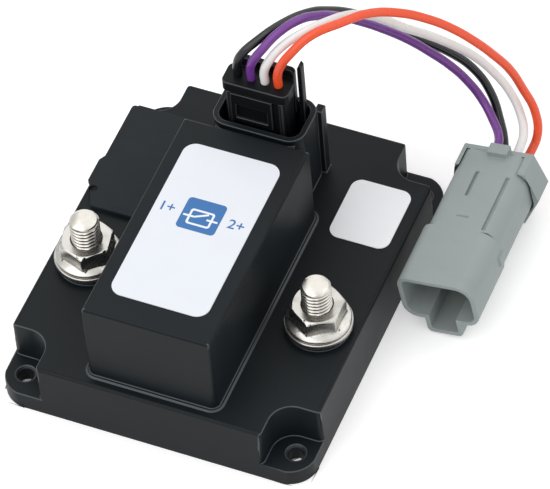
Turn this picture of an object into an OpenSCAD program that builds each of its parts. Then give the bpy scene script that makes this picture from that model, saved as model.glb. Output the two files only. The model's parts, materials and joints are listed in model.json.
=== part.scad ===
// Battery isolator relay: a moulded housing with a solenoid tower, two threaded terminals,
// a covered bank of setting switches and a four wire harness with a sealed connector.
// Millimetres. Origin at the middle of the housing's foot, +Z up, +Y towards the harness.

/* [Housing] */
// Width of the block at its foot
block_w = 86.2; // [84:0.2:94]
// Depth of the block at its foot
block_d = 102.5; // [101:0.5:112]
// Height of the plateau
block_h = 17.4; // [17:0.1:19]
// How far each side wall leans in from foot to plateau
block_lean = 0.6; // [0.2:0.1:1]
// Thickness of the side walls at the foot
block_wall = 3.3; // [2.8:0.1:3.6]
// Thickness of the plateau
ceiling_t = 2.4; // [2:0.1:2.8]
// Rounding of the block's upright corners
block_corner_r = 2; // [1:0.5:3]
// Rounding of the plateau's edge
block_edge_r = 0.8; // [0.4:0.1:1]
// Side of the four corner notches
notch_w = 12; // [11.5:0.1:13]
// Round pocket in each notch, for the screw head
notch_r = 6; // [4:0.5:7]
// Wall between a notch and the inside
notch_wall = 3; // [2.4:0.1:3.4]
// Height of the mounting ears
ear_h = 5.3; // [4:0.1:6]
// Outer corner radius of the ears
ear_r = 7.5; // [5:0.5:9]
// Mounting hole diameter
ear_hole_d = 4.3; // [4:0.1:5]
// Distance of the mounting holes from the block's sides
ear_inset_x = 5.6; // [5.1:0.1:6.1]
// Distance of the mounting holes from the block's ends
ear_inset_y = 6.75; // [6.25:0.05:7.25]
// Chamfer at the mouth of each mounting hole
ear_chamfer = 0.5; // [0.2:0.1:0.8]

/* [Base] */
// Thickness of the bottom cover
base_t = 2; // [1.6:0.1:2.4]
// Thickness of the gasket on top of it
gasket_t = 0.8; // [0.5:0.1:1.2]
// Width of the ledge that the gasket seals against
ledge_w = 1.5; // [1:0.1:1.8]
// Gap between the bottom cover and its recess, each side
base_gap = 0.2; // [0.1:0.05:0.3]
// Thickness of the two webs that carry the coil
saddle_t = 2.5; // [1.5:0.1:2.8]
// Length of the webs
saddle_l = 26; // [22:1:30]
// Distance of each web's near face from the coil's axis
saddle_y = 8.6; // [8.2:0.1:9]

/* [Solenoid tower] */
// Width of the tower at its foot
tower_w = 36; // [34:0.5:38]
// Depth of the tower at its foot
tower_d = 68; // [66:0.5:70]
// Height of the tower's top
tower_top = 43.3; // [42.8:0.1:48]
// Distance of the tower's middle in front of the block's middle
tower_front = 13.4; // [13:0.1:14]
// How far each side leans in
tower_lean = 0.6; // [0.2:0.1:1]
// Upright corner radius
tower_corner_r = 2.5; // [1.5:0.5:4]
// Rounding of the top edge
tower_edge_r = 0.9; // [0.4:0.1:1.2]
// Wall thickness
tower_wall = 2.4; // [1.8:0.1:2.6]
// Roof thickness
tower_roof = 2; // [1.5:0.1:2.4]
// Width of the moulded bead round the foot
bead_w = 0.8; // [0.4:0.1:1.2]
// Height of that bead
bead_h = 0.4; // [0.2:0.1:0.8]

/* [Harness socket] */
// Sideways place of the socket's middle
socket_x = 1; // [0:0.5:2]
// Distance of the socket's middle behind the block's middle
socket_y = 29.6; // [29.4:0.1:30.6]
// Outer width of the shroud
shroud_w = 25.6; // [25:0.2:28]
// Outer depth of the shroud
shroud_d = 15.2; // [15:0.1:16]
// Outer corner radius of the shroud
shroud_r = 4.5; // [3:0.5:5]
// Wall of the shroud
shroud_wall = 1.6; // [1.2:0.1:1.7]
// Height of the shroud's rim
shroud_top = 42; // [40:0.5:44]
// Height of the shroud's floor
shroud_floor = 22.4; // [21:0.2:24]
// Height of the web that joins shroud and tower
web_top = 40; // [30:1:41]
// Width of that web
web_w = 22; // [10:1:24]
// Width of the guard post
post_w = 2.2; // [1.5:0.1:3]
// Depth of the guard post
post_d = 2.8; // [2:0.1:4]
// Height of the guard post's top
post_top = 41.5; // [35:0.5:43]

/* [Terminals] */
// Distance of each stud from the block's side
terminal_inset = 11.1; // [10.5:0.1:12.1]
// Radius of the raised boss under each washer
boss_r = 8.2; // [7.5:0.1:9]
// Height of that boss above the plateau
boss_h = 1.4; // [0.8:0.1:2]
// Diameter of the studs
stud_d = 8; // [6:1:8]
// Pitch of the studs' thread
thread_pitch = 1.25; // [1:0.05:1.5]
// Height of the studs' tops
stud_top = 34.3; // [32:0.1:40]
// Length of the pointed end
stud_chamfer = 0.7; // [0.3:0.1:1]
// Diameter of the shoulder moulded into the housing
shoulder_d = 13; // [12:0.2:14]
// Length of the shoulder
shoulder_h = 8.8; // [8.4:0.1:9]
// Diameter of the head inside
head_d = 14; // [10:0.5:14]
// Thickness of the head
head_h = 3; // [1.5:0.1:3.5]
// Outer diameter of the washers
washer_d = 18; // [16:0.5:20]
// Thickness of the washers
washer_t = 1.6; // [1:0.1:2]
// Width across the nuts' flats
nut_af = 13; // [13:0.5:14]
// Height of the nuts
nut_h = 6.5; // [5:0.1:8]
// Diameter of the nuts' flange
nut_flange_d = 17.2; // [16:0.2:18]
// Thickness of the flange's rim
nut_rim = 1.1; // [0.6:0.1:1.5]
// Height of the flange's slope above the rim
nut_slope = 0.9; // [0.4:0.1:1.2]
// Radial gap between thread and nut
thread_gap = 0.05; // [0.03:0.01:0.08]

/* [Contacts] */
// Width of the bus bars
busbar_w = 14; // [12:0.5:14]
// Thickness of the bus bars
busbar_t = 2; // [1.5:0.1:2.2]
// Distance of the bus bars' inner ends from the middle
busbar_in = 6; // [5:0.2:6]
// Diameter of the contact tips
tip_d = 7; // [5:0.2:7]
// Thickness of the contact tips
tip_t = 1.2; // [0.8:0.1:1.4]
// Distance of each tip from the middle
tip_x = 9.5; // [9.2:0.1:9.8]
// Open gap between the tips
tip_gap = 1.7; // [1.7:0.1:2]
// Length of the moving bridge
bridge_l = 27; // [26:0.5:30]
// Width of the moving bridge
bridge_w = 10; // [8:0.5:11]
// Thickness of the moving bridge
bridge_t = 2; // [1.5:0.1:2.4]
// Gap between the bridge and the yoke above it
bridge_gap = 0.8; // [0.5:0.1:1]

/* [Coil] */
// Thickness of the yoke's foot
yoke_foot_t = 1.4; // [1:0.1:2]
// Width of the yoke
yoke_w = 20; // [16:0.5:22]
// Thickness of the yoke's two arms
yoke_arm_t = 2; // [1.5:0.1:2.5]
// Gap between the bobbin's flanges and the arms
yoke_arm_gap = 1.7; // [0.5:0.1:2]
// Thickness of the pole plate on top
pole_plate_t = 2; // [1.5:0.1:2.4]
// Length of the bobbin
bobbin_l = 18.4; // [17:0.2:18.8]
// Diameter of the bobbin's flanges
bobbin_d = 25.6; // [22:0.2:26]
// Thickness of the flanges
bobbin_flange_t = 1.2; // [0.8:0.1:1.6]
// Bore of the bobbin
bobbin_bore_d = 9.2; // [9.1:0.05:9.3]
// Thickness of the bobbin's tube
bobbin_tube_t = 1; // [0.6:0.1:1.2]
// Diameter of the winding
winding_d = 23.6; // [18:0.2:24]
// Diameter of the plunger
plunger_d = 8.8; // [8.4:0.1:8.9]
// Diameter of the plunger's rod
rod_d = 3.7; // [3:0.1:3.8]
// Length of the fixed pole piece above the yoke's foot
pole_l = 6.7; // [6:0.1:7.5]
// Air gap between pole piece and plunger
air_gap = 2; // [1.8:0.1:2.2]
// Diameter of the spring's pocket in the pole piece
spring_pocket_d = 6.8; // [6.6:0.1:7]
// Depth of the spring's pocket
spring_pocket_l = 4.5; // [4:0.1:5]
// Mean diameter of the return spring
spring_d = 5.2; // [5:0.1:5.4]
// Wire diameter of the return spring
spring_wire_d = 0.6; // [0.4:0.05:0.7]
// Turns of the return spring
spring_turns = 4.5; // [3:0.5:5]

/* [Circuit board] */
// Thickness of the board
board_t = 1.6; // [1.2:0.1:1.8]
// Height of the board's posts
board_post_h = 4; // [3.6:0.1:4.2]
// Gap between the board and the housing's walls
board_gap = 1.4; // [1:0.1:2]
// Diameter of the board's posts
board_post_d = 5; // [4:0.2:6]
// Diameter of the pegs on the posts
board_peg_d = 2.6; // [2:0.1:3]
// Diameter of the capacitor
capacitor_d = 10; // [8:0.5:10]
// Height of the capacitor
capacitor_h = 16; // [10:0.5:20]

/* [Setting switches] */
// Distance of the switches from the block's side
dip_inset = 13.1; // [12.6:0.1:13.6]
// Distance of the switches behind the middle
dip_y = 21; // [20:0.5:22]
// Width of the switch block, along the sliders' travel
dip_w = 10; // [9:0.2:10.4]
// Length of the switch block
dip_l = 12; // [11.6:0.2:13]
// Height of the switch block
dip_h = 4.2; // [3.8:0.1:4.6]
// Distance between sliders
dip_pitch = 2.54; // [2.4:0.01:2.7]
// Travel of the sliders
dip_travel = 2; // [1.5:0.1:2.2]
// Thickness of each slider
slider_w = 1.2; // [1:0.1:1.3]
// Height that the sliders stand proud
slider_proud = 0.8; // [0.5:0.1:0.9]
// Width of the finger well above the switches
well_w = 12; // [11:0.2:12.6]
// Length of the finger well
well_l = 24; // [20:0.5:25]
// Thickness of the rubber cover
cover_t = 1.5; // [1:0.1:2]
// How far the pull tab stands out
cover_tab = 1; // [0.6:0.1:1.2]
// Distance of the cover's front edge behind the middle
cover_front = 2.6; // [2.4:0.1:3]
// Diameter of the cover's pegs
peg_d = 2.8; // [2:0.1:3.2]
// Length of the cover's pegs
peg_l = 1.6; // [1:0.1:1.8]

/* [Labels] */
// Width of the label on the tower
label_w = 26.6; // [20:0.2:30]
// Depth of the label on the tower
label_d = 52.2; // [40:0.2:60]
// Corner radius of the label
label_r = 3.5; // [1:0.5:5]
// Thickness of the label and the window
label_t = 0.3; // [0.2:0.05:0.5]
// Width of the status window
window_w = 16.6; // [12:0.2:18]
// Depth of the status window
window_d = 20.2; // [14:0.2:22]
// Corner radius of the window
window_r = 3; // [1:0.5:4]
// Distance of the window's middle from the block's side
window_inset = 12.2; // [11.7:0.1:13.1]
// Distance of the window behind the middle
window_y = 25.1; // [24:0.1:26]
// Diameter of the lamp under the window
lamp_d = 5; // [3:0.5:5]

/* [Plug] */
// Distance between the wires at the plug
pin_pitch = 3.75; // [3.6:0.05:3.8]
// Width of the plug's body
plug_w = 16.8; // [16.4:0.1:17.4]
// Depth of the plug's body
plug_d = 6.4; // [6.2:0.1:6.8]
// Width of the plug's cap
cap_w = 18.4; // [17.8:0.1:18.5]
// Depth of the plug's cap
cap_d = 7.2; // [7:0.1:7.4]
// Thickness of the cap
cap_h = 3.3; // [2:0.1:4]
// Height of the cap's top, where the wires leave
plug_top = 54; // [53:0.1:54]
// Corner radius of the cap
cap_r = 1.8; // [1:0.1:2.2]
// Thickness of the latch wall behind the cap
latch_t = 1.6; // [1:0.1:1.8]
// Height of the latch's thumb pad above the cap
latch_proud = 2.6; // [1.5:0.1:3]
// Width of the latch
latch_w = 16.8; // [12:0.2:17]
// Rounding of the latch's upper corners
latch_r = 2.6; // [1:0.1:3]
// Width of the locking blade
blade_w = 1.4; // [1:0.1:1.5]
// Depth of the locking blade
blade_d = 1.9; // [1.4:0.1:2]
// Height of the blade's top
blade_top = 60; // [58:0.5:62]
// Length of the blade
blade_l = 22; // [18:0.5:24]
// Size of the terminals in the plug
terminal_box = 2.4; // [2.2:0.05:2.4]

/* [Connector] */
// Length of the connector
conn_l = 48; // [44:0.5:50]
// Distance of the connector's mouth behind the middle
conn_mouth = 6.6; // [6:0.1:7]
// Sideways place of the connector's axis
conn_x = 56.7; // [56.4:0.1:57]
// Height of the connector's axis
conn_z = 10.9; // [10.9:0.1:11.2]
// Width of the hood
hood_w = 21.3; // [20:0.1:22]
// Height of the hood's top above the axis
hood_top = 10; // [9:0.1:10.4]
// Depth of the hood's floor below the axis
hood_floor = 4.8; // [4.4:0.1:5.2]
// Depth of the key channel below the axis
channel_floor = 9.9; // [9:0.1:9.9]
// Width of the key channel
channel_w = 10; // [9:0.2:11]
// Length of the hood, before the body behind it narrows
hood_l = 19.4; // [16:0.2:22]
// How much the body behind the hood is narrower on its left
step_left = 1.1; // [0.6:0.1:1.5]
// How much it is narrower on its right
step_right = 0.5; // [0.3:0.1:1]
// Wall of the hood
hood_wall = 1.3; // [1:0.1:1.5]
// Length of the collar at the rear
collar_l = 7.6; // [6:0.2:9]
// Gap between the collar's wings and the body
wing_gap = 0.5; // [0.3:0.1:0.7]
// Thickness of the collar's rear wall
collar_rim = 1.6; // [1:0.1:2]
// Pitch of the connector's four contacts
conn_pitch = 6; // [5.4:0.1:6.2]
// Diameter of the connector's contacts
conn_pin_d = 1.5; // [1:0.1:1.6]
// Diameter of the wires
wire_d = 2.4; // [2:0.1:2.4]

/* [Hidden] */
$fn = 48;

// Overrun of every cut past the face that it opens
over = 1;
// Sliding gap between pieces that are pushed together
fit = 0.1;
// Gap between bodies that move past each other
run_gap = 0.3;

// Block: half sizes of its outline, of the notches' inner edges and of the inside
half_w = block_w / 2;
half_d = block_d / 2;
arm_x = half_w - notch_w;
arm_y = half_d - notch_w;
room_x = half_w - block_wall;
room_y = arm_y - notch_wall;
bay_x = arm_x - notch_wall;
bay_y = half_d - block_wall;
ceiling_z = block_h - ceiling_t;
ledge_z = base_t + gasket_t;
ear_x = half_w - ear_inset_x;
ear_y = half_d - ear_inset_y;

// Tower and coil axis
coil_y = -tower_front;
tower_back = coil_y + tower_d / 2;
tower_ceiling = tower_top - tower_roof;
tower_room_w = tower_w - 2 * tower_wall;
tower_room_d = tower_d - 2 * tower_wall;

// Terminal stack, from the boss downwards and upwards
terminal_x = half_w - terminal_inset;
shoulder_top = block_h + boss_h;
busbar_top = shoulder_top - shoulder_h;
busbar_z = busbar_top - busbar_t;
stud_r = stud_d / 2;
shoulder_r = shoulder_d / 2;
nut_z = shoulder_top + washer_t;
nut_top = nut_z + nut_h;
// The stud is drawn at its thread's mean radius as far as the nut, and at the outer radius past it
mean_depth_share = 0.325;
thread_mean_r = stud_r - thread_pitch * mean_depth_share;
left_nut_corner = -78;
right_nut_corner = -90;
inner_boss_t = 1.6;
inner_boss_r = shoulder_r + inner_boss_t;
bore_gap = 0.05;
washer_gap = 0.2;
washer_bore_r = stud_r + washer_gap;
nut_bite = 0.3;

// Contact stack, from the bus bars upwards
fixed_tip_top = busbar_top + tip_t;
bridge_tip_z = fixed_tip_top + tip_gap;
bridge_z = bridge_tip_z + tip_t;
bridge_top = bridge_z + bridge_t;

// Magnet stack, from the bridge upwards
yoke_z = bridge_top + bridge_gap;
bobbin_z = yoke_z + yoke_foot_t;
bobbin_top = bobbin_z + bobbin_l;
pole_plate_top = bobbin_top + pole_plate_t;
yoke_arm_y = bobbin_d / 2 + yoke_arm_gap;
yoke_half_d = yoke_arm_y + yoke_arm_t;
pole_top = bobbin_z + pole_l;
plunger_z = pole_top + air_gap;
plunger_r = plunger_d / 2;
spring_z = pole_top - spring_pocket_l;
rod_r = rod_d / 2;
rivet_h = 0.9;
rivet_r = rod_r + rivet_h;
rivet_step = 0.35;
rivet_neck_r = rod_r - rivet_step;
neck_step = 0.8;
neck_r = plunger_r - neck_step;
winding_gap = 0.1;
hold_rib_t = 2;
hold_rib_y = 12;

// Board and what stands on it
board_z = base_t + board_post_h;
board_top = board_z + board_t;
saddle_gap = 0.8;
board_front = coil_y + saddle_y + saddle_t + saddle_gap;
board_w = room_x - board_gap;
board_back = room_y - board_gap;
board_tab_w = bay_x - board_gap;
board_tab_back = bay_y - board_gap;
board_posts = [[-board_w + board_post_d, board_front + board_post_d],
               [board_w - board_post_d, board_front + board_post_d],
               [-board_tab_w + board_post_d, board_tab_back - board_post_d],
               [board_tab_w - board_post_d, board_tab_back - board_post_d]];
board_peg_proud = 0.8;
board_peg_h = board_t + board_peg_proud;
capacitor_y = (coil_y + yoke_half_d + tower_back - tower_wall) / 2;
window_x = half_w - window_inset;
lamp_drop = 0.6;
lamp_top = block_h - lamp_drop;
lamp_flange = 0.5;
lamp_flange_h = 1;

// Small parts on the board in front of the header, as [x, y, width, depth, height]: y is a share
// of that zone's depth, the others are shares of half the board's width
component_shares = [
  [0.55, 0.16, 0.150, 0.110, 0.040], [0.20, 0.80, 0.180, 0.100, 0.030],
  [-0.28, 0.78, 0.120, 0.120, 0.060], [0.36, 0.50, 0.100, 0.060, 0.050],
  [-0.36, 0.40, 0.080, 0.150, 0.070], [0.55, 0.46, 0.060, 0.040, 0.030],
  [-0.72, 0.28, 0.120, 0.060, 0.030], [0.36, 0.26, 0.060, 0.040, 0.020]];

// Setting switches
dip_x = half_w - dip_inset;
slider_l = 2;
slot_depth = 1.2;
slot_gap = 0.1;
slider_gap = 0.05;
slider_z = board_top + dip_h - slot_depth + slider_gap;
slider_top = board_top + dip_h + slider_proud;
cover_side = 1.5;
cover_inset = 0.8;
cover_back = arm_y - cover_inset;
cover_right = tower_w / 2 + bead_w + run_gap;
cover_left = half_w - block_lean - block_edge_r;
cover_tab_y = [9.1, 10.4, 17.7, 19.5];
cover_corner = 1.8;
dimple_d = 2;
dimple_depth = 0.9;
dimple_inset = 1.6;
dimple_y = 8.2;
peg_gap = 0.05;
peg_inset = 3;

// Socket pins and plug
pin_w = 1;
pin_d = 0.8;
pin_tail = 1.2;
pin_l = 15;
pin_top = shroud_floor + pin_l;
pin_xs = [for (i = [0:3]) (i - 1.5) * pin_pitch];
header_w = 18;
header_d = 7.2;
component_zone_d = socket_y - header_d / 2 - board_front;
cap_z = plug_top - cap_h;
cap_back = socket_y + cap_d / 2;
latch_z = 40;
cavity_w = terminal_box + 2 * fit;
terminal_lift = 1.5;
terminal_z = shroud_floor + terminal_lift;
terminal_l = 20;
terminal_hole_l = 15;
terminal_hole_w = 1.4;
terminal_hole_d = 1.2;
seal_w = 15;
seal_d = 4.6;
seal_h = 4.5;
clip_w = 11.5;
clip_off = 0.8;
clip_t = 0.8;
clip_h = 10.5;
clip_window_w = 8.5;
clip_window_h = 5;
clip_band = 3.9;
plug_rib_w = 0.8;
plug_r = 1;
blade_gap = 0.2;
blade_x = cap_w / 2 + blade_gap;
blade_y = 33;
blade_slant = 1;

// Connector, in its own frame: u across, w up, rolled as it lies on the bench
conn_roll = 8.5;
conn_rear = conn_mouth + conn_l;
hood_mid = 0.25;
hood_rs = [4, 4, 5, 3.2];
channel_r = 1.5;
bulkhead_l = 23.4;
bulkhead_y = conn_mouth + bulkhead_l;
seal_pocket = 4.6;
conn_seal_proud = 0.8;
conn_seal_w = 12;
conn_seal_h = 11.6;
conn_seal_r = 2.5;
conn_mid = 0.4;
conn_u = [conn_mid - conn_pitch / 2, conn_mid + conn_pitch / 2];
conn_low = 0.6;
conn_w = [-conn_low, conn_pitch - conn_low];
conn_pin_inset = 9.6;
conn_pin_front = conn_mouth + conn_pin_inset;
conn_bore_gap = 0.05;
wedge_t = 3.6;
wedge_gap = 0.3;
collar_side = 12.25;
collar_top_w = 9.75;
collar_foot_w = 6.65;
collar_mid_w = 0;
collar_off = 0.35;
collar_drop = 0.2;
tab_w = 5.6;
tab_l = 3.4;
tab_h = 1.8;
tab_off = 1.1;
groove_w = 0.9;
groove_depth = 1;
short_groove = [-2.3, 37.2, 45.8];
long_groove = [6.3, 26.9, 45.4];
cross_groove = [-2.3, 1, 29.9];
cross_groove_w = 0.5;
bump_l = 3;
bump_w = 3;
bump_t = 0.6;
bump_z = 1;
detail_sink = 1;

// Routes of the four wires, from the plug's cap to the connector's seal, chosen by hand
route_black = [[-5.6, 29.6, 54], [-5.6, 29.6, 58], [-4.5, 30, 61.5], [-1, 32.5, 65.5], [4, 39, 67.5],
  [8, 46, 65.5], [11, 52, 61], [15, 58, 55], [19, 62.5, 49], [24, 66.5, 42.5], [29, 70, 36.5],
  [35, 73, 31], [41, 74.5, 25], [46, 73.5, 18.5], [50, 69.5, 13], [53, 64.5, 10.5], [54.2, 60, 9.9],
  [54.2, 55.4, 9.9]];
route_purple = [[-1.9, 29.6, 54], [-1.9, 29.6, 58], [-1, 29.6, 61], [1.5, 30.5, 65.5], [4.5, 34, 69],
  [8, 39.5, 69.5], [11, 45, 66.5], [14, 50.5, 61.5], [18, 56, 55], [22, 60, 49.5], [27, 64, 43],
  [32, 67, 36.5], [37, 69, 30.5], [41, 70, 25], [45, 69.5, 20], [49, 66.5, 17], [52.5, 62, 16],
  [53.3, 59.5, 15.9], [53.3, 55.4, 15.9]];
route_white = [[1.9, 29.6, 54], [1.9, 29.6, 58], [3, 30, 61.5], [6, 32.5, 66], [10.5, 37, 68.5],
  [14.5, 42, 68.5], [18, 48, 66], [21, 53, 62], [24, 57, 57], [28, 61, 51], [32, 65.5, 45], [37, 69, 39.5],
  [42, 72, 33.5], [47, 73, 28], [52, 72, 23], [56, 69, 19], [58.6, 64.5, 17.2], [59.3, 59.5, 16.7],
  [59.3, 55.4, 16.7]];
route_orange = [[5.6, 29.6, 54], [5.6, 29.6, 58], [6.5, 30, 61.5], [9, 31, 66], [13, 35, 70],
  [19, 41.5, 70.5], [24, 48, 69], [30, 53.5, 65.5], [36, 58, 60.5], [41, 61.5, 55], [46, 64.5, 48.5],
  [50, 67, 42], [53.5, 69, 35.5], [56.5, 70, 28], [60, 69.5, 20.5], [61.5, 67, 15], [61, 63.5, 11.8],
  [60.2, 59.5, 10.8], [60.2, 55.4, 10.8]];
wire_sides = 8;

// A cuboid between two values on each axis
module span(xs, ys, zs)
  translate([xs[0], ys[0], zs[0]]) cube([xs[1] - xs[0], ys[1] - ys[0], zs[1] - zs[0]]);

// A rectangle with four true round corners, about the origin
module rounded(w, d, r) {
  square([w - 2 * r, d], center = true);
  square([w, d - 2 * r], center = true);
  for (x = [-1, 1], y = [-1, 1])
    translate([x * (w / 2 - r), y * (d / 2 - r)]) circle(r);
}

module rounded_plate(w, d, r, h) linear_extrude(h) rounded(w, d, r);

// A ring or disc: outer radius, bore radius, height
module ring(r, bore, h) difference() {
  cylinder(r = r, h = h);
  translate([0, 0, -over]) cylinder(r = bore, h = h + 2 * over);
}

// Points of a quarter circle about a centre, from one angle onwards
function arc(c, r, from, steps = 4) =
  [for (i = [0:steps]) c + r * [cos(from + 90 * i / steps), sin(from + 90 * i / steps)]];

// Side view of a wall that leans in from foot to top and has a rounded top edge
function lean_points(foot, lean, h, r) =
  let (side = arc([foot - lean - r, h - r], r, 0))
  concat([[-foot, 0], [foot, 0]], side, [for (i = [len(side) - 1:-1:0]) [-side[i][0], side[i][1]]]);

// A block whose four walls lean in, cut to an outline given as children
module leaning(w, d, lean, h, r) intersection() {
  linear_extrude(h) children();
  rotate([90, 0, 0]) linear_extrude(d + 2 * over, center = true)
    polygon(lean_points(w / 2, lean, h, r));
  rotate([90, 0, 90]) linear_extrude(w + 2 * over, center = true)
    polygon(lean_points(d / 2, lean, h, r));
}

// A rectangle with its own radius at each corner: foot left, foot right, top right, top left
function cornered(xs, ys, rs) = concat(
  arc([xs[1] - rs[2], ys[1] - rs[2]], rs[2], 0), arc([xs[0] + rs[3], ys[1] - rs[3]], rs[3], 90),
  arc([xs[0] + rs[0], ys[0] + rs[0]], rs[0], 180), arc([xs[1] - rs[1], ys[0] + rs[1]], rs[1], 270));

module along_y(y0, y1) translate([0, y1, 0]) rotate([90, 0, 0]) linear_extrude(y1 - y0) children();

// Sweep of a round section along a list of points
function unit(v) = v / norm(v);
function route_dir(p, i) = unit(p[min(i + 1, len(p) - 1)] - p[max(i - 1, 0)]);
function carried(n, t) = unit(n - (n * t) * t);
function frames(p, i) = i == 0 ? [carried([1, 0.2, 0.1], route_dir(p, 0))]
  : let (before = frames(p, i - 1)) concat(before, [carried(before[i - 1], route_dir(p, i))]);
module tube(p, d, sides) {
  n = len(p);
  across = frames(p, n - 1);
  points = [for (i = [0:n - 1]) let (t = route_dir(p, i), a = across[i], b = cross(t, a))
    for (k = [0:sides - 1]) p[i] + d / 2 * (cos(360 * k / sides) * a + sin(360 * k / sides) * b)];
  walls = [for (i = [0:n - 2], k = [0:sides - 1])
    let (a = i * sides + k, b = i * sides + (k + 1) % sides)
    for (f = [[a, a + sides, b], [b, a + sides, b + sides]]) f];
  last = (n - 1) * sides;
  ends = [for (k = [1:sides - 2]) for (f = [[0, k, k + 1], [last, last + k + 1, last + k]]) f];
  polyhedron(points, concat(walls, ends));
}

module at_studs() for (x = [-terminal_x, terminal_x]) translate([x, coil_y, 0]) children();
module mirror_pair(x) for (s = [-1, 1]) translate([s * x, 0, 0]) children();

// Outline of the block above the ears: a cross with round pockets in its notches
module block_outline() {
  rounded(block_w, 2 * arm_y, block_corner_r);
  rounded(2 * arm_x, block_d, block_corner_r);
  for (x = [-1, 1], y = [-1, 1]) scale([x, y])
    difference() {
      translate([arm_x - over, arm_y - over]) square(notch_r + over);
      translate([arm_x + notch_r, arm_y + notch_r]) circle(notch_r);
      translate([arm_x + notch_r, arm_y - 2 * over]) square(notch_r + over);
      translate([arm_x - 2 * over, arm_y + notch_r]) square(notch_r + over);
    }
}

module room(grow, z0, z1) {
  span([-room_x - grow, room_x + grow], [-room_y - grow, room_y + grow], [z0, z1]);
  span([-bay_x - grow, bay_x + grow], [-bay_y - grow, bay_y + grow], [z0, z1]);
}

module socket_slots(z0, z1, w, d)
  for (x = pin_xs) span([x - w / 2, x + w / 2], [socket_y - d / 2, socket_y + d / 2], [z0, z1]);

module housing_solid() {
  leaning(block_w, block_d, block_lean, block_h, block_edge_r) block_outline();
  intersection() {
    leaning(block_w, block_d, block_lean, block_h, block_edge_r) square([block_w, block_d], center = true);
    rounded_plate(block_w, block_d, ear_r, ear_h);
  }
  translate([0, coil_y, 0]) {
    translate([0, 0, ceiling_z])
      leaning(tower_w, tower_d, tower_lean, tower_top - ceiling_z, tower_edge_r)
        rounded(tower_w, tower_d, tower_corner_r);
    translate([0, 0, ceiling_z])
      rounded_plate(tower_w + 2 * bead_w, tower_d + 2 * bead_w, tower_corner_r + bead_w, ceiling_t + bead_h);
  }
  at_studs() translate([0, 0, ceiling_z]) cylinder(r = boss_r, h = shoulder_top - ceiling_z);
  translate([socket_x, socket_y, ceiling_z])
    rounded_plate(shroud_w, shroud_d, shroud_r, shroud_top - ceiling_z);
  span([socket_x - web_w / 2, socket_x + web_w / 2],
    [tower_back - tower_wall, socket_y - shroud_d / 2 + shroud_wall / 2], [ceiling_z, web_top]);
  translate([socket_x + shroud_w / 2 - post_w / 2, socket_y + shroud_d / 2 - post_d, ceiling_z])
    cube([post_w, post_d, post_top - ceiling_z]);
}

module housing() color("#24272a") difference() {
  union() {
    difference() {
      housing_solid();
      room(0, ledge_z - over, ceiling_z);
      translate([-tower_room_w / 2, coil_y - tower_room_d / 2, ceiling_z - over])
        cube([tower_room_w, tower_room_d, tower_ceiling - ceiling_z + over]);
    }
    at_studs() translate([0, 0, busbar_top])
      cylinder(r = inner_boss_r, h = ceiling_z - busbar_top + over);
    for (s = [-1, 1])
      translate([-yoke_w / 2, coil_y + s * hold_rib_y - hold_rib_t / 2, pole_plate_top + fit])
        cube([yoke_w, hold_rib_t, tower_ceiling - pole_plate_top - fit + tower_roof / 2]);
  }
  room(ledge_w, -over, ledge_z);
  at_studs() translate([0, 0, busbar_top - over])
    cylinder(r = shoulder_r + bore_gap, h = shoulder_top - busbar_top + 2 * over);
  for (x = [-ear_x, ear_x], y = [-ear_y, ear_y])
    translate([x, y, 0]) {
      translate([0, 0, -over]) cylinder(d = ear_hole_d, h = ear_h + 2 * over);
      translate([0, 0, ear_h - ear_chamfer])
        cylinder(d1 = ear_hole_d, d2 = ear_hole_d + 4 * ear_chamfer, h = 2 * ear_chamfer);
    }
  translate([-dip_x - well_w / 2, dip_y - well_l / 2, ceiling_z - over])
    cube([well_w, well_l, ceiling_t + 2 * over]);
  cover_pegs(peg_gap, block_h - peg_l - fit, block_h + over);
  translate([window_x, window_y, ceiling_z - over])
    cylinder(d = lamp_d + 4 * fit, h = ceiling_t + 2 * over);
  translate([socket_x, socket_y, shroud_floor])
    rounded_plate(shroud_w - 2 * shroud_wall, shroud_d - 2 * shroud_wall, shroud_r - shroud_wall,
      shroud_top - shroud_floor + over);
  socket_slots(ceiling_z - over, shroud_floor + over, pin_w + 2 * fit, pin_d + 2 * fit);
}

module base_plate() color("#2b2e31") {
  room(ledge_w - base_gap, 0, base_t);
  for (s = [-1, 1]) translate([-saddle_l / 2, coil_y + s * (saddle_y + saddle_t / 2) - saddle_t / 2, 0])
    cube([saddle_l, saddle_t, yoke_z]);
  for (p = board_posts) translate([p[0], p[1], 0]) {
    cylinder(d = board_post_d, h = board_z);
    cylinder(d = board_peg_d, h = board_z + board_peg_h);
  }
}

module base_gasket() color("#55595c") difference() {
  room(ledge_w - base_gap, base_t, ledge_z);
  room(0, base_t - over, ledge_z + over);
}

module tower_label() color("white") translate([0, coil_y, tower_top])
  rounded_plate(label_w, label_d, label_r, label_t);

module status_window() color("#eef1f5") translate([window_x, window_y, block_h])
  rounded_plate(window_w, window_d, window_r, label_t);

module status_lamp() color("#d8f0d0") translate([window_x, window_y, board_top]) {
  cylinder(d = lamp_d + 2 * lamp_flange, h = lamp_flange_h);
  cylinder(d = lamp_d, h = lamp_top - board_top - lamp_d / 2);
  translate([0, 0, lamp_top - board_top - lamp_d / 2]) sphere(d = lamp_d);
}

module circuit_board() color("#1f6b3a") difference() {
  union() {
    span([-board_w, board_w], [board_front, board_back], [board_z, board_top]);
    span([-board_tab_w, board_tab_w], [board_front, board_tab_back], [board_z, board_top]);
  }
  for (p = board_posts) translate([p[0], p[1], board_z - over])
    cylinder(d = board_peg_d + 2 * bore_gap, h = board_t + 2 * over);
  socket_slots(board_z - over, board_top + over, pin_w + 2 * fit, pin_d + 2 * fit);
}

module board_components() color("#15171a") for (c = component_shares) {
  w = c[2] * board_w;
  d = c[3] * board_w;
  translate([c[0] * board_w - w / 2, board_front + c[1] * component_zone_d, board_top])
    cube([w, d, c[4] * board_w]);
}

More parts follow.
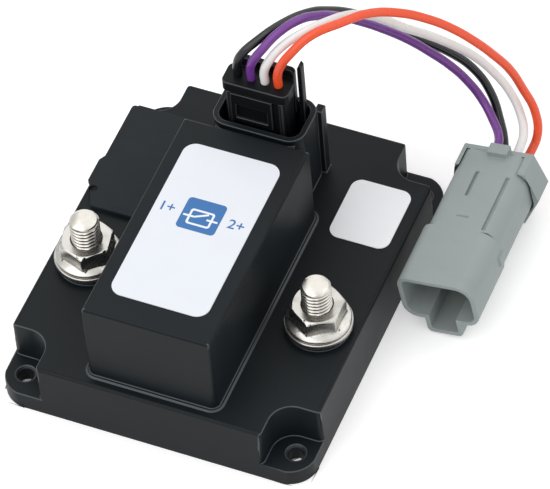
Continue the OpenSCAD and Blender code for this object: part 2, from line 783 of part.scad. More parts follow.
module board_capacitor() color("#3a4f8a") translate([0, capacitor_y, board_top]) rotate_extrude() {
  r = capacitor_d / 2;
  neck_z = capacitor_h / 8;
  neck = capacitor_d / 20;
  polygon([[0, 0], [r, 0], [r, neck_z], [r - neck, neck_z + neck], [r, neck_z + 2 * neck],
    [r, capacitor_h - neck], [r - neck, capacitor_h], [0, capacitor_h]]);
}

module dip_block() color("#b33a2e") difference() {
  translate([-dip_x - dip_w / 2, dip_y - dip_l / 2, board_top]) cube([dip_w, dip_l, dip_h]);
  for (i = [0:3]) translate([-dip_x - slider_l / 2 - dip_travel / 2 - slot_gap,
      dip_y + (i - 1.5) * dip_pitch - slider_w / 2 - slot_gap, board_top + dip_h - slot_depth])
    cube([slider_l + dip_travel + 2 * slot_gap, slider_w + 2 * slot_gap, slot_depth + over]);
}

module dip_slider(i) color("white")
  translate([-dip_x - slider_l / 2 - dip_travel / 2, dip_y + (i - 2.5) * dip_pitch - slider_w / 2, slider_z])
    cube([slider_l, slider_w, slider_top - slider_z]);
module dip_slider_1() dip_slider(1);
module dip_slider_2() dip_slider(2);
module dip_slider_3() dip_slider(3);
module dip_slider_4() dip_slider(4);

module cover_pegs(grow, z0, z1)
  for (p = [[-cover_left + peg_inset, dip_y], [-cover_right - peg_inset, cover_front + peg_inset]])
    translate([p[0], p[1], z0]) cylinder(d = peg_d + 2 * grow, h = z1 - z0);

// Outline of the cover: its front corner is cut back and a pull tab stands out at the side
module cover_outline() polygon([
  [-cover_right, cover_front], [-cover_right, cover_back], [-cover_left + cover_corner, cover_back],
  [-cover_left, cover_back - cover_corner], [-cover_left, cover_tab_y[3]],
  [-cover_left - cover_tab, cover_tab_y[2]], [-cover_left - cover_tab, cover_tab_y[1]],
  [-cover_left, cover_tab_y[0]], [-cover_left + 2 * cover_side, cover_front]]);

module dip_cover() color("#2e3133") {
  difference() {
    translate([0, 0, block_h]) linear_extrude(cover_t) cover_outline();
    translate([-cover_left + dimple_inset, dimple_y, block_h + cover_t - dimple_depth])
      cylinder(d = dimple_d, h = dimple_depth + over);
  }
  cover_pegs(0, block_h - peg_l, block_h + cover_t / 2);
}

// One turned profile: head, shank through the bus bar, shoulder, then the stud with its pointed end
module stud() rotate_extrude() polygon([
  [0, busbar_z - head_h], [head_d / 2, busbar_z - head_h], [head_d / 2, busbar_z],
  [stud_r, busbar_z], [stud_r, busbar_top], [shoulder_r, busbar_top], [shoulder_r, shoulder_top],
  [thread_mean_r, shoulder_top], [thread_mean_r, nut_top], [stud_r, nut_top],
  [stud_r, stud_top - stud_chamfer], [stud_r - stud_chamfer, stud_top], [0, stud_top]]);
module stud_left() color("#c9cacb") translate([-terminal_x, coil_y, 0]) stud();
module stud_right() color("#c9cacb") translate([terminal_x, coil_y, 0]) stud();

module washer() translate([0, 0, shoulder_top]) ring(washer_d / 2, washer_bore_r, washer_t);
module washer_left() color("#d2d4d6") translate([-terminal_x, coil_y, 0]) washer();
module washer_right() color("#d2d4d6") translate([terminal_x, coil_y, 0]) washer();

// A hexagon on a sloping flange, its top corners turned off to a cone
module nut(corner) {
  corner_r = nut_af / 2 / cos(30);
  face_r = nut_af / 2 - nut_bite;
  turned_r = corner_r + over;
  difference() {
    union() {
      intersection() {
        rotate([0, 0, corner]) cylinder(r = corner_r, h = nut_h, $fn = 6);
        rotate_extrude() polygon([[0, -over], [turned_r, -over],
          [turned_r, nut_h - (turned_r - face_r) * tan(30)], [face_r, nut_h],
          [face_r - over, nut_h + over * tan(30)], [0, nut_h + over * tan(30)]]);
      }
      rotate_extrude() polygon([[0, 0], [nut_flange_d / 2, 0], [nut_flange_d / 2, nut_rim],
        [face_r, nut_rim + nut_slope], [0, nut_rim + nut_slope]]);
    }
    translate([0, 0, -over]) cylinder(r = stud_r + thread_gap, h = nut_h + 2 * over);
  }
}
module nut_left() color("#dfe0e1") translate([-terminal_x, coil_y, nut_z]) nut(left_nut_corner);
module nut_right() color("#dfe0e1") translate([terminal_x, coil_y, nut_z]) nut(right_nut_corner);

module busbar(side) difference() {
  translate([0, coil_y, busbar_z]) linear_extrude(busbar_t) {
    translate([side * terminal_x, 0]) circle(d = busbar_w);
    translate([side * (terminal_x + busbar_in) / 2, 0])
      square([terminal_x - busbar_in, busbar_w], center = true);
  }
  translate([side * terminal_x, coil_y, busbar_z - over])
    cylinder(r = stud_r + fit, h = busbar_t + 2 * over);
}
module busbar_left() color("#c7823f") busbar(-1);
module busbar_right() color("#c7823f") busbar(1);

module tip(x, z) translate([x, coil_y, z]) cylinder(d = tip_d, h = tip_t);
module contact_left() color("#d9d9d4") tip(-tip_x, busbar_top);
module contact_right() color("#d9d9d4") tip(tip_x, busbar_top);
module bridge_contacts() color("#d9d9d4") mirror_pair(tip_x) tip(0, bridge_tip_z);
module contact_bridge() color("#c7823f") difference() {
  translate([0, coil_y, bridge_z]) rounded_plate(bridge_l, bridge_w, bridge_w / 4, bridge_t);
  translate([0, coil_y, bridge_z - over]) cylinder(r = rivet_neck_r + bore_gap, h = bridge_t + 2 * over);
}

// Plunger, its rod through the pole piece, and the riveted end under the bridge
module plunger() color("#8f9499") translate([0, coil_y, 0]) rotate_extrude() polygon([
  [0, bridge_z - rivet_h], [rivet_r, bridge_z - rivet_h], [rivet_r, bridge_z],
  [rivet_neck_r, bridge_z], [rivet_neck_r, bridge_top], [rod_r, bridge_top], [rod_r, plunger_z],
  [plunger_r, plunger_z], [plunger_r, bobbin_top - fit], [neck_r, bobbin_top + fit],
  [neck_r, pole_plate_top], [0, pole_plate_top]]);

module return_spring() color("#b9bcbe") translate([0, coil_y, 0]) {
  rings = 8 * spring_turns;
  climb = plunger_z - spring_z - spring_wire_d - 2 * slider_gap;
  tube([for (i = [0:rings]) let (a = 360 * spring_turns * i / rings)
    [spring_d / 2 * cos(a), spring_d / 2 * sin(a),
     spring_z + spring_wire_d / 2 + slider_gap + climb * i / rings]], spring_wire_d, 6);
}

module pole_piece() color("#8f9499") translate([0, coil_y, 0]) difference() {
  union() {
    translate([0, 0, bobbin_z]) cylinder(r = plunger_r, h = pole_l);
    translate([0, 0, yoke_z]) cylinder(r = neck_r, h = yoke_foot_t + over);
  }
  translate([0, 0, yoke_z - over]) cylinder(r = rod_r + bore_gap, h = pole_l + yoke_foot_t + 2 * over);
  translate([0, 0, spring_z]) cylinder(d = spring_pocket_d, h = spring_pocket_l + over);
}

module yoke() color("#9aa0a5") difference() {
  translate([-yoke_w / 2, coil_y - yoke_half_d, yoke_z])
    cube([yoke_w, 2 * yoke_half_d, bobbin_top - yoke_z]);
  translate([-yoke_w / 2 - over, coil_y - yoke_arm_y, bobbin_z])
    cube([yoke_w + 2 * over, 2 * yoke_arm_y, bobbin_l + over]);
  translate([0, coil_y, yoke_z - over])
    cylinder(r = neck_r + bore_gap, h = yoke_foot_t + 2 * over);
}

module pole_plate() color("#9aa0a5") difference() {
  translate([-yoke_w / 2, coil_y - yoke_half_d, bobbin_top])
    cube([yoke_w, 2 * yoke_half_d, pole_plate_t]);
  translate([0, coil_y, bobbin_top - over]) cylinder(r = plunger_r + fit, h = pole_plate_t + 2 * over);
}

module coil_bobbin() color("#e6e2d6") translate([0, coil_y, bobbin_z]) rotate_extrude() {
  r0 = bobbin_bore_d / 2;
  r1 = r0 + bobbin_tube_t;
  r2 = bobbin_d / 2;
  t = bobbin_flange_t;
  polygon([[r0, 0], [r2, 0], [r2, t], [r1, t], [r1, bobbin_l - t], [r2, bobbin_l - t],
    [r2, bobbin_l], [r0, bobbin_l]]);
}

module coil_winding() color("#b5652b") translate([0, coil_y, bobbin_z + bobbin_flange_t])
  ring(winding_d / 2, bobbin_bore_d / 2 + bobbin_tube_t + winding_gap, bobbin_l - 2 * bobbin_flange_t);

module socket_header() color("#1c1e20") difference() {
  span([-header_w / 2, header_w / 2], [socket_y - header_d / 2, socket_y + header_d / 2],
    [board_top, ceiling_z - fit]);
  socket_slots(board_top - over, ceiling_z + over, pin_w + 2 * fit, pin_d + 2 * fit);
}

module socket_pins() color("#cfc08a") socket_slots(board_z - pin_tail, pin_top, pin_w, pin_d);

module plug_housing() color("#1e2022") difference() {
  union() {
    translate([0, socket_y, shroud_floor]) rounded_plate(plug_w, plug_d, plug_r, cap_z - shroud_floor);
    for (x = [-1, 1]) translate([x * (plug_w / 2 - 1.5 * plug_rib_w) - plug_rib_w / 2,
        socket_y - cap_d / 2, shroud_floor + terminal_l / 2])
      cube([plug_rib_w, cap_d / 2, cap_z - shroud_floor - terminal_l / 2]);
  }
  socket_slots(shroud_floor - over, terminal_z + terminal_l + fit, cavity_w, cavity_w);
  translate([-seal_w / 2 - fit, socket_y - seal_d / 2 - fit, cap_z - seal_h - fit])
    cube([seal_w + 2 * fit, seal_d + 2 * fit, seal_h + fit + over]);
}

module plug_terminals() color("#cfc08a") difference() {
  socket_slots(terminal_z, terminal_z + terminal_l, terminal_box, terminal_box);
  socket_slots(terminal_z - over, terminal_z + terminal_hole_l, terminal_hole_w, terminal_hole_d);
}

module plug_seal() color("#7f4a3a")
  span([-seal_w / 2, seal_w / 2], [socket_y - seal_d / 2, socket_y + seal_d / 2], [cap_z - seal_h, cap_z]);

module plug_cap() color("#1e2022") translate([0, socket_y, cap_z])
  rounded_plate(cap_w, cap_d, cap_r, cap_h);

// Thumb wall of the latch, with rounded upper corners, standing against the cap's back
module plug_latch() color("#1e2022") along_y(cap_back, cap_back + latch_t)
  polygon(cornered([-latch_w / 2, latch_w / 2], [latch_z, plug_top + latch_proud],
    [latch_t / 2, latch_t / 2, latch_r / 2, latch_r]));

module plug_clip() color("#232629") difference() {
  span([-clip_off - clip_w / 2, -clip_off + clip_w / 2],
    [socket_y - plug_d / 2 - clip_t, socket_y - plug_d / 2], [cap_z - clip_h, cap_z]);
  span([-clip_off - clip_window_w / 2, -clip_off + clip_window_w / 2],
    [socket_y - plug_d / 2 - clip_t - over, socket_y - plug_d / 2 + over],
    [cap_z - clip_band - clip_window_h, cap_z - clip_band]);
}

// Locking blade beside the cap, its top cut on a slant
module plug_lock() color("#26292c") along_y(blade_y, blade_y + blade_d) polygon([
  [blade_x, blade_top - blade_l], [blade_x + blade_w, blade_top - blade_l],
  [blade_x + blade_w, blade_top - blade_slant], [blade_x + blade_w / 2, blade_top],
  [blade_x, blade_top - 2 * blade_slant]]);

module wire_black() color("#17181a") tube(route_black, wire_d, wire_sides);
module wire_purple() color("#7a3b93") tube(route_purple, wire_d, wire_sides);
module wire_white() color("#f2f2f0") tube(route_white, wire_d, wire_sides);
module wire_orange() color("#f2663a") tube(route_orange, wire_d, wire_sides);

module at_connector() translate([conn_x, 0, conn_z]) rotate([0, -conn_roll, 0]) children();

// Section of the hood and its key channel, drawn in by the given amount, and more on the left and right
module hood_outline(in, left = 0, right = 0) {
  polygon(cornered([hood_mid - hood_w / 2 + in + left, hood_mid + hood_w / 2 - in - right],
    [-hood_floor + in, hood_top - in], [for (r = hood_rs) r - in]));
  polygon(cornered([hood_mid - channel_w / 2 + in, hood_mid + channel_w / 2 - in],
    [-channel_floor + in, 0], [for (i = [0:3]) channel_r - in / 2]));
}

module collar_outline() polygon([
  [collar_off - collar_top_w, hood_top - collar_drop], [collar_off - collar_side, collar_mid_w],
  [collar_off - collar_foot_w, -channel_floor], [collar_off + collar_foot_w, -channel_floor],
  [collar_off + collar_side, collar_mid_w], [collar_off + collar_top_w, hood_top - collar_drop]]);

module conn_contacts(r, y0, y1) for (u = conn_u, w = conn_w)
  translate([u, y1, w]) rotate([90, 0, 0]) cylinder(r = r, h = y1 - y0);

module conn_seal_outline(grow) {
  mid_u = (conn_u[0] + conn_u[1]) / 2;
  mid_w = (conn_w[0] + conn_w[1]) / 2;
  translate([mid_u, mid_w])
    rounded(conn_seal_w + 2 * grow, conn_seal_h + 2 * grow, conn_seal_r + grow);
}

// Grooves in the top of the hood, given as [u, start, end]
module top_groove(g) translate([g[0] - groove_w / 2, g[1], hood_top - groove_depth])
  cube([groove_w, g[2] - g[1], groove_depth + over]);

module connector_shell() color("#a5acac") at_connector() difference() {
  union() {
    along_y(conn_mouth, conn_mouth + hood_l) hood_outline(0);
    along_y(conn_mouth + hood_l, conn_rear - collar_rim) hood_outline(0, step_left, step_right);
    difference() {
      along_y(conn_rear - collar_l, conn_rear) collar_outline();
      along_y(conn_rear - collar_l - over, conn_rear - collar_rim)
        hood_outline(-wing_gap, step_left, step_right);
    }
    translate([tab_off - tab_w / 2, conn_rear - tab_l, hood_top - detail_sink])
      cube([tab_w, tab_l, tab_h + detail_sink]);
    translate([hood_mid + hood_w / 2 - detail_sink, conn_mouth + hood_l - bump_l, bump_z])
      cube([bump_t + detail_sink, bump_l, bump_w]);
  }
  along_y(conn_mouth - over, bulkhead_y) hood_outline(hood_wall);
  conn_contacts(conn_pin_d / 2 + conn_bore_gap, bulkhead_y - over, conn_rear);
  along_y(conn_rear - seal_pocket, conn_rear + over) conn_seal_outline(fit);
  top_groove(short_groove);
  top_groove(long_groove);
  translate([cross_groove[0], cross_groove[2], hood_top - groove_depth / 2])
    cube([cross_groove[1] - cross_groove[0], cross_groove_w, groove_depth]);
}

module connector_wedge() color("#d07a35") at_connector() difference() {
  along_y(bulkhead_y - wedge_t, bulkhead_y) conn_seal_outline(-wedge_gap);
  conn_contacts(conn_pin_d / 2 + wedge_gap, bulkhead_y - wedge_t - over, bulkhead_y + over);
}

module connector_pins() color("#c9b98a") at_connector()
  conn_contacts(conn_pin_d / 2, conn_pin_front, conn_rear - seal_pocket);

module connector_seal() color("#8e9494") at_connector()
  along_y(conn_rear - seal_pocket, conn_rear + conn_seal_proud) conn_seal_outline(0);

housing();
base_plate();
base_gasket();
tower_label();
status_window();
status_lamp();
circuit_board();
board_components();
board_capacitor();
dip_block();
dip_slider_1();
dip_slider_2();
dip_slider_3();
dip_slider_4();
dip_cover();
stud_left();
stud_right();
washer_left();
washer_right();
nut_left();
nut_right();
busbar_left();
busbar_right();
contact_left();
contact_right();
contact_bridge();
bridge_contacts();
plunger();
return_spring();
pole_piece();
yoke();
pole_plate();
coil_bobbin();
coil_winding();
socket_header();
socket_pins();
plug_housing();
plug_cap();
plug_latch();
plug_clip();
plug_lock();
plug_terminals();
plug_seal();
wire_black();
wire_purple();
wire_white();
wire_orange();
connector_shell();
connector_wedge();
connector_pins();
connector_seal();
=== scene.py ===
"""Battery isolator relay: finishes, threads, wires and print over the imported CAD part.

Lengths are in millimetres and angles in degrees, except where Blender takes or gives them.
"""

import json
import logging
import math
from dataclasses import dataclass, field
from enum import Enum
from typing import Dict, List, Optional, Protocol, Sequence, Tuple, Union

import bmesh
import bpy
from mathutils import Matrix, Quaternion, Vector

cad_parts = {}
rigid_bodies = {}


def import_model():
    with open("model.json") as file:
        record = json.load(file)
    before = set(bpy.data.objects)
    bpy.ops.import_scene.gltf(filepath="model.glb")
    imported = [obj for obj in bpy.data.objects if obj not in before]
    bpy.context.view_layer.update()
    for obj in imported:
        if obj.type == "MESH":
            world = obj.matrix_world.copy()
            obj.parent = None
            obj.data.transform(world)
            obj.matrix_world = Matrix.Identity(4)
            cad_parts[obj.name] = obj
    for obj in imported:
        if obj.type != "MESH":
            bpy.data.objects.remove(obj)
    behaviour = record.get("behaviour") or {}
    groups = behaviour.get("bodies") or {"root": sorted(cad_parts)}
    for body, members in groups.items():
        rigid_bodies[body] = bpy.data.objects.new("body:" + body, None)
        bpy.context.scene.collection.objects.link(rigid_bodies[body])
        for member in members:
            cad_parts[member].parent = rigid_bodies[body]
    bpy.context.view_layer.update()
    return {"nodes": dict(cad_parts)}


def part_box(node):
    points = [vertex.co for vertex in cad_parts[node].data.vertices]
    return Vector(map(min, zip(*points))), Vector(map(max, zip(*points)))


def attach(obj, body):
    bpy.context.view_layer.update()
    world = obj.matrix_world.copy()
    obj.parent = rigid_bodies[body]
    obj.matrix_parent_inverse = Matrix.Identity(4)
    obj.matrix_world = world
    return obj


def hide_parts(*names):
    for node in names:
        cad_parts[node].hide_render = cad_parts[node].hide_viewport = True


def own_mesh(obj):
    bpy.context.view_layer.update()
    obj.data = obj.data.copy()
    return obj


MM = 0.001

JOINED_GAP = 0.002
PLAIN_ANGLE = 0.3
SHARP_ANGLE = 38.0

CODE_TOP = 255
KNEE = 0.04045
KNEE_SLOPE = 12.92
LIFT = 0.055
GAMMA = 2.4

Point = Tuple[float, float, float]
Flat = Tuple[float, float]
Colour = Tuple[float, float, float, float]
Nodes = Dict[str, bpy.types.Object]
Pieces = List[bpy.types.Object]

log = logging.getLogger("isolator_relay")


def linear(share: float) -> float:
    """The light that one channel of a screen colour stands for, both from 0 to 1."""
    return share / KNEE_SLOPE if share <= KNEE else ((share + LIFT) / (1 + LIFT)) ** GAMMA


def paint(code: str) -> Colour:
    """Linear colour of a hex code.

    Args:
        code: Six hex digits, as a paint chart gives them.

    Returns:
        Red, green, blue and alpha, ready for a shader socket.
    """
    pairs = (code[:2], code[2:4], code[4:])
    red, green, blue = (linear(int(pair, 16) / CODE_TOP) for pair in pairs)
    return red, green, blue, 1.0


def finish_name(name: str) -> str:
    """A finish's material name, which differs from the frame's own plain material's."""
    return f"{name}_finish"


class Reading:
    """A number that varies over a surface; sums and products of it add Math nodes."""

    def __init__(self, recipe: "Recipe", socket: bpy.types.NodeSocket) -> None:
        """Keeps the recipe that the number belongs to and the socket that gives it."""
        self.recipe = recipe
        self.socket = socket

    def join(self, operation: str, first: "Feed", second: "Feed" = 0.0) -> "Reading":
        """A Math node on two numbers.

        Args:
            operation: The Math node's operation.
            first: The first number or link.
            second: The second number or link.

        Returns:
            The node's result.
        """
        made = self.recipe.node(
            "ShaderNodeMath", {"operation": operation}, {0: first, 1: second}
        )
        return Reading(self.recipe, made.outputs[0])

    def __add__(self, other: "Feed") -> "Reading":
        """This number plus another."""
        return self.join("ADD", self, other)

    def __radd__(self, other: "Feed") -> "Reading":
        """Another number plus this one."""
        return self.join("ADD", other, self)

    def __sub__(self, other: "Feed") -> "Reading":
        """This number less another."""
        return self.join("SUBTRACT", self, other)

    def __rsub__(self, other: "Feed") -> "Reading":
        """Another number less this one."""
        return self.join("SUBTRACT", other, self)

    def __mul__(self, other: "Feed") -> "Reading":
        """This number times another."""
        return self.join("MULTIPLY", self, other)

    def __rmul__(self, other: "Feed") -> "Reading":
        """Another number times this one."""
        return self.join("MULTIPLY", other, self)

    def wave(self) -> "Reading":
        """The sine of this number."""
        return self.join("SINE", self)

    def larger(self, other: "Feed") -> "Reading":
        """The larger of this number and another."""
        return self.join("MAXIMUM", self, other)

    def size(self) -> "Reading":
        """This number without its sign."""
        return self.join("ABSOLUTE", self)

    def root(self) -> "Reading":
        """The square root of this number."""
        return self.join("SQRT", self)

    def step(self, low: float, high: float) -> "Reading":
        """A smooth step from 0 at low to 1 at high.

        Args:
            low: Where the step starts.
            high: Where it ends.

        Returns:
            The step, from 0 to 1.
        """
        made = self.recipe.node(
            "ShaderNodeMapRange",
            {"interpolation_type": "SMOOTHSTEP"},
            {"Value": self, "From Min": low, "From Max": high},
        )
        return Reading(self.recipe, made.outputs["Result"])


Feed = Union[Reading, bpy.types.NodeSocket, float, Sequence[float]]


class Recipe:
    """The nodes of one material or of the world."""

    def __init__(self, owner: Union[bpy.types.Material, bpy.types.World]) -> None:
        """Empties the nodes of the material or world.

        Args:
            owner: The material or world.
        """
        self.owner = owner
        owner.use_nodes = True
        self.tree = owner.node_tree
        self.tree.nodes.clear()

    @classmethod
    def named(cls, name: str) -> "Recipe":
        """The recipe of a new material for the finish of that name."""
        return cls(bpy.data.materials.new(finish_name(name)))

    def node(
        self,
        kind: str,
        settings: Optional[Dict[str, object]] = None,
        feeds: Optional[Dict[Union[str, int], Feed]] = None,
    ) -> bpy.types.Node:
        """Adds one node.

        Args:
            kind: The node's type.
            settings: Its own settings, set first.
            feeds: A value or link for each socket, by name or number.

        Returns:
            The node.
        """
        made = self.tree.nodes.new(kind)
        for key, value in (settings or {}).items():
            setattr(made, key, value)
        for key, value in (feeds or {}).items():
            source = value.socket if isinstance(value, Reading) else value
            if isinstance(source, bpy.types.NodeSocket):
                self.tree.links.new(source, made.inputs[key])
            else:
                made.inputs[key].default_value = source
        return made

    def place(self, grain: Point = (1.0, 1.0, 1.0)) -> bpy.types.NodeSocket:
        """The surface's own place.

        Args:
            grain: How much it is stretched along each axis.

        Returns:
            The place in millimetres.
        """
        found = self.node("ShaderNodeTexCoord")
        scaled = self.node(
            "ShaderNodeVectorMath",
            {"operation": "MULTIPLY"},
            {0: found.outputs["Object"], 1: [g / MM for g in grain]},
        )
        return scaled.outputs["Vector"]

    def along(self, axis: str) -> Reading:
        """The surface's place along X, Y or Z, in millimetres."""
        parts = self.node("ShaderNodeSeparateXYZ", None, {"Vector": self.place()})
        return Reading(self, parts.outputs[axis])

    def cloud(
        self, size: float, detail: float = 2.0, grain: Point = (1.0, 1.0, 1.0)
    ) -> Reading:
        """Soft noise.

        Args:
            size: How far apart its lumps are, in millimetres.
            detail: How many finer layers it has.
            grain: How much it is squeezed along each axis.

        Returns:
            The noise, from 0 to 1.
        """
        made = self.node(
            "ShaderNodeTexNoise",
            None,
            {"Vector": self.place(grain), "Scale": 1 / size, "Detail": detail},
        )
        return Reading(self, made.outputs[0])

    def seen(self) -> Reading:
        """Tells what is seen from what only lights the scene.

        Returns:
            1 for what shows straight, in a mirror or through glass, and 0 for the rest.
        """
        path = self.node("ShaderNodeLightPath")
        seen = Reading(self, path.outputs["Is Camera Ray"])
        for way in ("Is Glossy Ray", "Is Transmission Ray"):
            seen = seen.larger(path.outputs[way])
        return seen

    def colours(self, share: Feed, first: Colour, second: Feed) -> bpy.types.NodeSocket:
        """A mix of two colours.

        Args:
            share: How much of the second one shows.
            first: The colour at 0.
            second: The colour at 1.

        Returns:
            The mixed colour.
        """
        made = self.node(
            "ShaderNodeMix", {"data_type": "RGBA"}, {0: share, 6: first, 7: second}
        )
        return made.outputs[2]

    def relief(self, height: Reading, depth: float) -> bpy.types.NodeSocket:
        """A Bump node's normal.

        Args:
            height: The relief, from 0 to 1.
            depth: Its real depth in millimetres.

        Returns:
            The normal that the relief gives.
        """
        made = self.node(
            "ShaderNodeBump", None, {"Height": height, "Distance": depth * MM}
        )
        return made.outputs["Normal"]

    def surface(self, feeds: Dict[Union[str, int], Feed]) -> bpy.types.Material:
        """Ends the recipe in a Principled shader.

        Args:
            feeds: A value or link for each of the shader's sockets.

        Returns:
            The finished material.
        """
        shader = self.node("ShaderNodeBsdfPrincipled", None, feeds)
        self.node("ShaderNodeOutputMaterial", None, {"Surface": shader.outputs[0]})
        return self.owner


@dataclass(frozen=True)
class Moulding:
    """A moulded plastic or rubber, with the grain that its mould leaves."""

    name: str
    colour: str
    scuffed: str
    roughness: float = 0.5
    shine: float = 0.4
    grain: float = 0.35
    grain_depth: float = 0.008
    grain_gloss: float = 0.05
    patch: float = 14.0
    patch_share: float = 0.5
    patch_gloss: float = 0.12
    scuffs_a_patch: float = 3.0
    scuff_share: float = 0.25
    scuff_lay: Point = (0.35, 1.0, 1.0)

    def mix(self) -> bpy.types.Material:
        """Mixes the material: grain in the relief, faint scuffs in colour and gloss.

        Returns:
            The material.
        """
        recipe = Recipe.named(self.name)
        patches = recipe.cloud(self.patch, detail=4.0)
        fine = recipe.cloud(self.grain, detail=1.0)
        scuff = self.patch / self.scuffs_a_patch
        scuffs = recipe.cloud(scuff, detail=3.0, grain=self.scuff_lay)
        scuffs = scuffs.step(low=0.45, high=0.75)
        worn = patches * self.patch_share + scuffs * self.scuff_share
        tone = recipe.colours(worn, paint(self.colour), paint(self.scuffed))
        dull = (patches - 0.5) * self.patch_gloss + fine * self.grain_gloss
        return recipe.surface(
            {
                "Base Color": tone,
                "Roughness": self.roughness + dull,
                "Specular IOR Level": self.shine,
                "Normal": recipe.relief(fine, self.grain_depth),
            }
        )


@dataclass(frozen=True)
class Metal:
    """A plated or bare metal with the marks of its tool."""

    name: str
    colour: str
    stained: str
    roughness: float = 0.25
    mark: float = 0.25
    mark_depth: float = 0.003
    mark_gloss: float = 0.12
    stain: float = 4.0
    stain_share: float = 0.6
    stain_gloss: float = 0.1

    def mix(self) -> bpy.types.Material:
        """Mixes the material: tool marks in the relief, stains in colour and gloss.

        Returns:
            The material.
        """
        recipe = Recipe.named(self.name)
        marks = recipe.cloud(self.mark)
        stains = recipe.cloud(self.stain, detail=4.0).step(low=0.4, high=0.8)
        share = stains * self.stain_share
        tone = recipe.colours(share, paint(self.colour), paint(self.stained))
        dull = marks * self.mark_gloss + stains * self.stain_gloss
        return recipe.surface(
            {
                "Base Color": tone,
                "Metallic": 1.0,
                "Roughness": self.roughness + dull,
                "Normal": recipe.relief(marks, self.mark_depth),
            }
        )


@dataclass(frozen=True)
class ThreadedMetal:
    """The plated steel of the two studs, with painted shade in the thread's valleys."""

    name: str
    colour: str
    # the colour painted in the thread's valleys as shade
    valley_shade: str
    roughness: float = 0.22
    axis_x: float = 32.0
    axis_y: float = -13.4
    valley_r: float = 3.4
    crest_r: float = 3.85
    end_z: float = 33.2
    end_fade: float = 0.3
    valley_gloss: float = 0.2
    stain: float = 1.5
    stain_share: float = 0.2
    stain_gloss: float = 0.1
    grain: float = 0.3
    grain_depth: float = 0.004

    def mix(self) -> bpy.types.Material:
        """Mixes the material: painted shade in the thread's valleys, the plain colour on the
        crests and the ground end.

        Returns:
            The material.
        """
        recipe = Recipe.named(self.name)
        across = recipe.along("X").size() - self.axis_x
        depth = recipe.along("Y") - self.axis_y
        radius = (across * across + depth * depth).root()
        ground = recipe.along("Z").step(self.end_z, self.end_z + self.end_fade)
        # painted shade: the thread's valleys, nearer the axis than the crests, take the darker
        # colour; the ground end keeps the plain one
        unshaded = radius.step(self.valley_r, self.crest_r).larger(ground)
        stains = recipe.cloud(self.stain, detail=3.0)
        unshaded_unstained = unshaded - stains * self.stain_share
        tone = recipe.colours(unshaded_unstained, paint(self.valley_shade), paint(self.colour))
        dull = (1.0 - unshaded) * self.valley_gloss + stains * self.stain_gloss
        return recipe.surface(
            {
                "Base Color": tone,
                "Metallic": 1.0,
                "Roughness": self.roughness + dull,
                "Normal": recipe.relief(recipe.cloud(self.grain), self.grain_depth),
            }
        )


@dataclass(frozen=True)
class Jacket:
    """The extruded jacket of a wire."""

    name: str
    colour: str
    shaded: str
    roughness: float = 0.28
    shine: float = 0.5
    waver: float = 6.0
    waver_share: float = 0.5
    waver_gloss: float = 0.15
    ripple: float = 0.5
    ripple_share: float = 0.4
    depth: float = 0.02

    def mix(self) -> bpy.types.Material:
        """Mixes the material: a gloss that wavers as extruded plastic does.

        Returns:
            The material.
        """
        recipe = Recipe.named(self.name)
        slow = recipe.cloud(self.waver)
        fine = recipe.cloud(self.ripple)
        share = slow * self.waver_share
        tone = recipe.colours(share, paint(self.colour), paint(self.shaded))
        return recipe.surface(
            {
                "Base Color": tone,
                "Roughness": self.roughness + (slow - 0.5) * self.waver_gloss,
                "Specular IOR Level": self.shine,
                "Normal": recipe.relief(fine * self.ripple_share + slow, self.depth),
            }
        )


@dataclass(frozen=True)
class Vinyl:
    """The satin film of a label."""

    name: str
    colour: str
    aged: str
    roughness: float = 0.42
    peel: float = 0.6
    peel_depth: float = 0.006
    patch: float = 9.0
    patch_share: float = 0.6
    patch_gloss: float = 0.1

    def mix(self) -> bpy.types.Material:
        """Mixes the material: an even film with a faint orange peel in its gloss.

        Returns:
            The material.
        """
        recipe = Recipe.named(self.name)
        peel = recipe.cloud(self.peel)
        patches = recipe.cloud(self.patch, detail=3.0)
        share = patches * self.patch_share
        tone = recipe.colours(share, paint(self.colour), paint(self.aged))
        return recipe.surface(
            {
                "Base Color": tone,
                "Roughness": self.roughness + (patches - 0.5) * self.patch_gloss,
                "Normal": recipe.relief(peel, self.peel_depth),
            }
        )


@dataclass(frozen=True)
class Wound:
    """Enamelled wire in close turns round an upright bobbin."""

    name: str
    colour: str
    # the colour painted in the grooves between turns as shade
    dark: str
    roughness: float = 0.25
    metallic: float = 0.6
    strand: float = 0.45
    groove: float = 0.15
    patch: float = 2.0
    patch_gloss: float = 0.15

    def mix(self) -> bpy.types.Material:
        """Mixes the material: one ridge for each turn of the wire, with painted shade in the
        grooves between turns.

        Returns:
            The material.
        """
        recipe = Recipe.named(self.name)
        turns = (recipe.along("Z") * (math.tau / self.strand)).wave() * 0.5 + 0.5
        # painted shade: the grooves between turns take the dark colour
        tone = recipe.colours(turns, paint(self.dark), paint(self.colour))
        return recipe.surface(
            {
                "Base Color": tone,
                "Metallic": self.metallic,
                "Roughness": self.roughness + recipe.cloud(self.patch) * self.patch_gloss,
                "Normal": recipe.relief(turns, self.groove),
            }
        )


